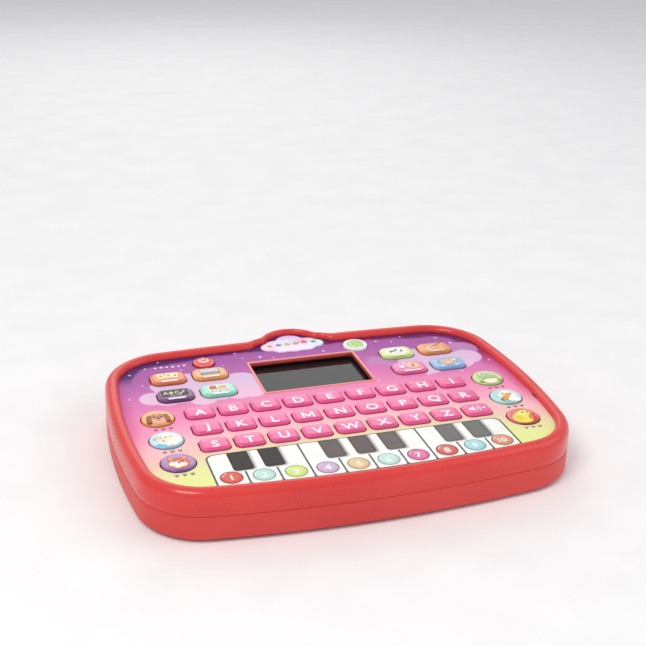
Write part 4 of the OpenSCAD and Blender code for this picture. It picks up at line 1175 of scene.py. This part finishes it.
ART_DROP = {"dog_key": 1.2, "duck_key": 0.9, "frog_key": 1.2, "sheep_key": 0.6, "cat_key": 0.9}
ART = {"dog_key": art_dog, "sheep_key": art_sheep, "cat_key": art_cat, "frog_key": art_frog, "duck_key": art_duck, "bird_key": art_bird}
for name, (kx, ky) in ANIMALS.items():
    m = cap_material(name.replace("_key", "_gloss"), AN_COL[name], 16.6, top_highlight=0.3, rough=0.22)
    s = Solid()
    s.loft([[(x, y, z) for x, y in circle(0, 0, 8.3 - e, 56)] for e, z in DISC_PROF], m, top=True)
    under_round(s, 8.3, m)
    cap = s.make(name.replace("_key", "_cap"), name, at=(kx, ky, 0), slot=SLOTS[name], angle=60)
    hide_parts(name)
    s = Solid()
    ART[name](s)
    s.v = [(x, y - ART_DROP.get(name, 1.0), z) for x, y, z in s.v]
    s.make(name.replace("_key", "_face"), name, at=(kx, ky, 0), angle=60)

# ------------------------------------------------------------------ power and green buttons
power_mat = plastic("power_gloss", "#ea5450", rough=0.18, var=0.04, patch=150, coat=0.6)
# painted shade: a darker copy of the button's red for its side wall and the parts below
power_side_shade = plastic("power_skirt", "#b62a2e", rough=0.3, var=0.04, patch=150, coat=0.2)
R = (36 + 1.4 ** 2) / 2.8


def power_z(x, y):
    return 26.4 - R + math.sqrt(R * R - min(x * x + y * y, 35.9))


s = Solid()
s.loft([[(x, y, z) for x, y in circle(0, 0, q, 52)] for q, z in ((6.0, 20.9), (6.0, 24.1), (5.98, 24.6))], power_side_shade)
s.loft([[(x, y, z) for x, y in circle(0, 0, q, 52)] for q, z in
        [(5.98, 24.6), (5.93, 24.9), (5.78, 25.15), (5.5, 25.32)] + [(q, power_z(q, 0) - 0.02) for q in (5.0, 4.6)] +
        [(4.45, power_z(4.45, 0) - 0.14), (4.2, power_z(4.2, 0) - 0.14), (4.05, power_z(4.05, 0) - 0.02)] +
        [(q, power_z(q, 0)) for q in (3.4, 2.6, 1.8, 1.0, 0.4)]], power_mat, top=True)
under_round(s, 6.0, power_side_shade)
cap = s.make("power_dome", "power_button", at=(*POWER, 0), slot="power_red", angle=60, merge=False)
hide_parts("power_button")
s = Solid()
mark = ink("#fff1ee", 0.25)
s.strip(arc_pts(0, -0.1, 2.35, 128, 412, 34), 0.8, 0, mark, t=0.12, zf=lambda x, y: power_z(x, y) + 0.06)
s.strip([(0, 0.5), (0, 1.2), (0, 1.9), (0, 2.6), (0, 3.2)], 0.8, 0, mark, t=0.12, zf=lambda x, y: power_z(x, y) + 0.07)
s.make("power_symbol", "power_button", at=(*POWER, 0), angle=40)

collar = plastic("collar_white", "#f6f0f2", rough=0.2, var=0.03, patch=120, coat=0.4)


def lens_material():
    g = Graph("green_lens")
    c = g.coord()
    x, y, z = g.xyz(g.mm())
    r = g.math('SQRT', g.math('ADD', g.math('MULTIPLY', x, x), g.math('MULTIPLY', y, y)))
    fine = g.noise(c, 900, 2.0)
    col = g.mix(g.smooth(r, 2.4, 4.3), lin("#9acd58"), lin("#d3e9a6"))
    col = g.mix(g.smooth(fine, 0.4, 0.8, 0, 0.1), col, lin("#e8ffc0"))
    g.base(col)
    g.set(rough=g.smooth(fine, 0.2, 0.8, 0.08, 0.14), sss=0.3, coat=0.6, coat_rough=0.04)
    g.b.inputs["Subsurface Radius"].default_value = (0.0012, 0.0016, 0.0006)
    g.b.inputs["Subsurface Scale"].default_value = 1.0
    return g.m


s = Solid()
s.loft([[(x, y, z) for x, y in circle(0, 0, q, 52)] for q, z in
        ((7.1, 20.9), (7.1, 24.2), (7.07, 24.6), (6.95, 24.92), (6.7, 25.17), (6.3, 25.34), (5.85, 25.4), (5.4, 25.36), (5.05, 25.22), (4.75, 25.0), (4.6, 24.8), (4.5, 24.7))], collar)
lens = lens_material()
s.loft([[(x, y, z) for x, y in circle(0, 0, q, 44)] for q, z in
        ((4.5, 24.6), (4.42, 25.0), (4.3, 25.35), (4.05, 25.68), (3.6, 25.95), (3.0, 26.14), (2.2, 26.24), (1.3, 26.29), (0.5, 26.3))], lens, top=True)
under_round(s, 7.1, collar)
cap = s.make("green_dome", "green_button", at=(*GREEN, 0), slot="green_cap", angle=60)
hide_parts("green_button")

# ------------------------------------------------------------------ lower shell's rounded edge, feet
SKIRT = [(4.4, 1.17), (5.1, 1.19), (5.9, 1.42), (6.55, 1.78), (7.05, 2.25), (7.38, 2.85), (7.51, 3.6), (7.52, 6.0), (7.52, 10.0), (7.52, 13.7), (7.4, 13.9), (7.15, 13.98)]
s = Solid()
s.loft([[(x, y, z) for x, y in outline(o)] for o, z in SKIRT], coral_rear)
s.make("lower_shell_edge", "housing", slot="shell_coral", angle=50)


def rubber():
    g = Graph("foot_rubber_matt")
    c = g.coord()
    n1, n2 = g.noise(c, 800, 4.0), g.noise(c, 120, 2.0)
    g.base(g.mix(g.smooth(n2, 0.3, 0.7), lin("#2b2b2d"), lin("#3a3a3c")))
    g.set(rough=g.smooth(n1, 0.3, 0.7, 0.7, 0.9), normal=g.bump(n1, 0.00004, 0.6))
    return g.m


rub = rubber()
s = Solid()
for fx, fy in ((88, 48), (86, -60)):
    for sx in (-1, 1):
        s.loft([[(sx * fx + x, fy + y, z) for x, y in circle(0, 0, q, 40)] for q, z in
                ((5.0, 1.9), (5.0, 0.7), (4.9, 0.35), (4.65, 0.1), (4.3, 0.0), (3.7, 0.0), (3.55, 0.18), (3.3, 0.18), (3.15, 0.0), (2.4, 0.0), (2.25, 0.18), (2.0, 0.18), (1.85, 0.0), (0.8, 0.0))][::-1], rub, bottom=True, top=True)
feet = s.make("foot_pads", "housing", slot="foot_rubber", angle=40)
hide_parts("rubber_feet")


# ------------------------------------------------------------------ materials of the CAD nodes that stay
def paint(node, m):
    o = NODES[node]
    o.data.materials.clear()
    o.data.materials.append(m)


def window_material():
    g = Graph("smoked_acrylic")
    c = g.coord()
    n1 = g.noise(c, 60, 2.0)
    n2 = g.noise(c, 1500, 2.0)
    g.base(g.mix(g.smooth(n1, 0.3, 0.7), lin("#171617"), lin("#1d1b1c")))
    g.set(rough=g.smooth(n2, 0.3, 0.8, 0.03, 0.06), normal=g.bump(n1, 0.00002, 0.1))
    g.b.inputs["Alpha"].default_value = 0.9
    g.b.inputs["IOR"].default_value = 1.45
    return g.m


def board_material():
    g = Graph("solder_mask")
    c = g.coord()
    x, y, z = g.xyz(g.mm())
    tr = g.node("ShaderNodeTexBrick")
    g.put(tr.inputs["Vector"], g.vec(x, y, 0.0))
    tr.inputs["Scale"].default_value = 0.16
    tr.inputs["Mortar Size"].default_value = 0.03
    tr.inputs["Color1"].default_value = lin("#1f6b3a")
    tr.inputs["Color2"].default_value = lin("#236f3e")
    tr.inputs["Mortar"].default_value = lin("#3f9a5c")
    n1 = g.noise(c, 500, 3.0)
    parts = g.math('LESS_THAN', z, 15.35)
    col = g.mix(parts, tr.outputs[0], lin("#1c1c1e"))
    col = g.mix(g.math('GREATER_THAN', z, 17.05), col, lin("#e9e4d6"))
    g.base(g.mix(g.smooth(n1, 0.5, 0.9, 0, 0.3), col, lin("#184f2b")))
    g.set(rough=g.smooth(n1, 0.3, 0.7, 0.35, 0.5), normal=g.bump(tr.outputs["Fac"], 0.00003, 0.5))
    return g.m


def led_material():
    g = Graph("led_dots")
    c = g.coord()
    x, y, z = g.xyz(g.mm())
    n1 = g.noise(c, 700, 2.0)
    dots = g.smooth(z, 18.05, 18.3)
    col = g.mix(dots, lin("#141414"), g.mix(g.smooth(n1, 0.3, 0.7), lin("#cfc4bb"), lin("#e6ddd4")))
    g.base(col)
    g.set(rough=g.smooth(n1, 0.3, 0.7, 0.4, 0.55))
    return g.m


def cell_material():
    g = Graph("cell_wrap")
    x, y, z = g.xyz(g.mm())
    n1 = g.noise(g.coord(), 900, 2.0)
    middle = g.math('LESS_THAN', g.math('ABSOLUTE', g.math('ADD', y, 20.0)), 5.5)
    turn = g.math('SUBTRACT', g.math('MULTIPLY', middle, 2.0), 1.0)
    f = g.math('DIVIDE', g.math('ADD', g.math('MULTIPLY', x, turn), 23.0), 46.0, clamp=True)
    col = g.ramp(f, [(0.0, lin("#c9c9c6")), (0.03, lin("#c9c9c6")), (0.032, lin("#c98f2e")), (0.30, lin("#dba53c")), (0.305, lin("#1d1d1f")),
                     (0.93, lin("#26262a")), (0.935, lin("#c9c9c6")), (1.0, lin("#d5d5d2"))])
    g.base(g.mix(g.smooth(n1, 0.5, 0.8, 0, 0.05), col, lin("#8a8a88")))
    g.set(rough=g.smooth(n1, 0.3, 0.7, 0.22, 0.34), metal=0.55)
    return g.m


def metal(name, colour, rough, streak=900):
    g = Graph(name)
    c = g.coord()
    x, y, z = g.xyz(c)
    n1 = g.noise(g.vec(x, g.math('MULTIPLY', y, 0.08), z), streak, 2.0)
    g.base(g.mix(g.smooth(n1, 0.3, 0.7), lin(colour, 0.9), lin(colour, 1.05)))
    g.set(rough=g.smooth(n1, 0.3, 0.7, rough - 0.05, rough + 0.1), metal=1.0, normal=g.bump(n1, 0.00001, 0.5))
    return g.m


paint("screen_window", window_material())
paint("main_board", board_material())
paint("led_matrix", led_material())
paint("battery_cells", cell_material())
paint("battery_contacts", metal("nickel_spring", "#d4d2cb", 0.25))
steel = metal("zinc_screw", "#c6c8cc", 0.3)
paint("case_screws", steel)
paint("door_screw", steel)
paint("key_mat", plastic("silicone_mat", "#cfccc5", rough=0.6, var=0.04, patch=60, grain=600, depth=0.00003, sss=0.1))
paint("piano_membrane", plastic("touch_film", "#d9d3c4", rough=0.35, var=0.06, patch=200))
paint("speaker", plastic("speaker_black", "#3a3b3e", rough=0.5, var=0.15, patch=220, grain=900, depth=0.00003))
paint("lead_wires", plastic("wire_red", "#c62a2a", rough=0.35, var=0.06, patch=300))
paint("rear_shell", coral_rear)
paint("battery_door", coral_rear)

# ------------------------------------------------------------------ floor, light
bm = bmesh.new()
bmesh.ops.create_grid(bm, x_segments=8, y_segments=8, size=6.0)
me = bpy.data.meshes.new("floor")
bm.to_mesh(me)
bm.free()
floor = bpy.data.objects.new("floor", me)
scene.collection.objects.link(floor)
g = Graph("floor_paper")
n1 = g.noise(g.coord(), 30, 3.0)
g.base(g.mix(g.smooth(n1, 0.3, 0.7), lin("#f8f7f6"), lin("#fcfbfa")))
g.set(rough=0.85)
me.materials.append(g.m)


def area(name, loc, target, size, power, colour=(1, 1, 1)):
    L = bpy.data.lights.new(name, 'AREA')
    L.shape, L.size, L.energy, L.color = 'DISK', size, power, colour
    o = bpy.data.objects.new(name, L)
    scene.collection.objects.link(o)
    o.location = loc
    d = Vector(target) - Vector(loc)
    o.rotation_euler = d.to_track_quat('-Z', 'Y').to_euler()
    return o


area("key_light", (-0.55, -0.45, 0.95), (0, 0, 0.02), 0.55, 5.4, (1.0, 0.985, 0.96))
area("fill_light", (0.85, -0.35, 0.65), (0, 0, 0.02), 0.9, 2.0, (0.96, 0.98, 1.0))
area("back_light", (0.1, 0.95, 0.75), (0, 0.02, 0.02), 1.0, 2.4)
world = bpy.data.worlds.new("studio")
scene.world = world
world.use_nodes = True
world.node_tree.nodes["Background"].inputs[0].default_value = (0.95, 0.96, 1.0, 1)
world.node_tree.nodes["Background"].inputs[1].default_value = 0.58

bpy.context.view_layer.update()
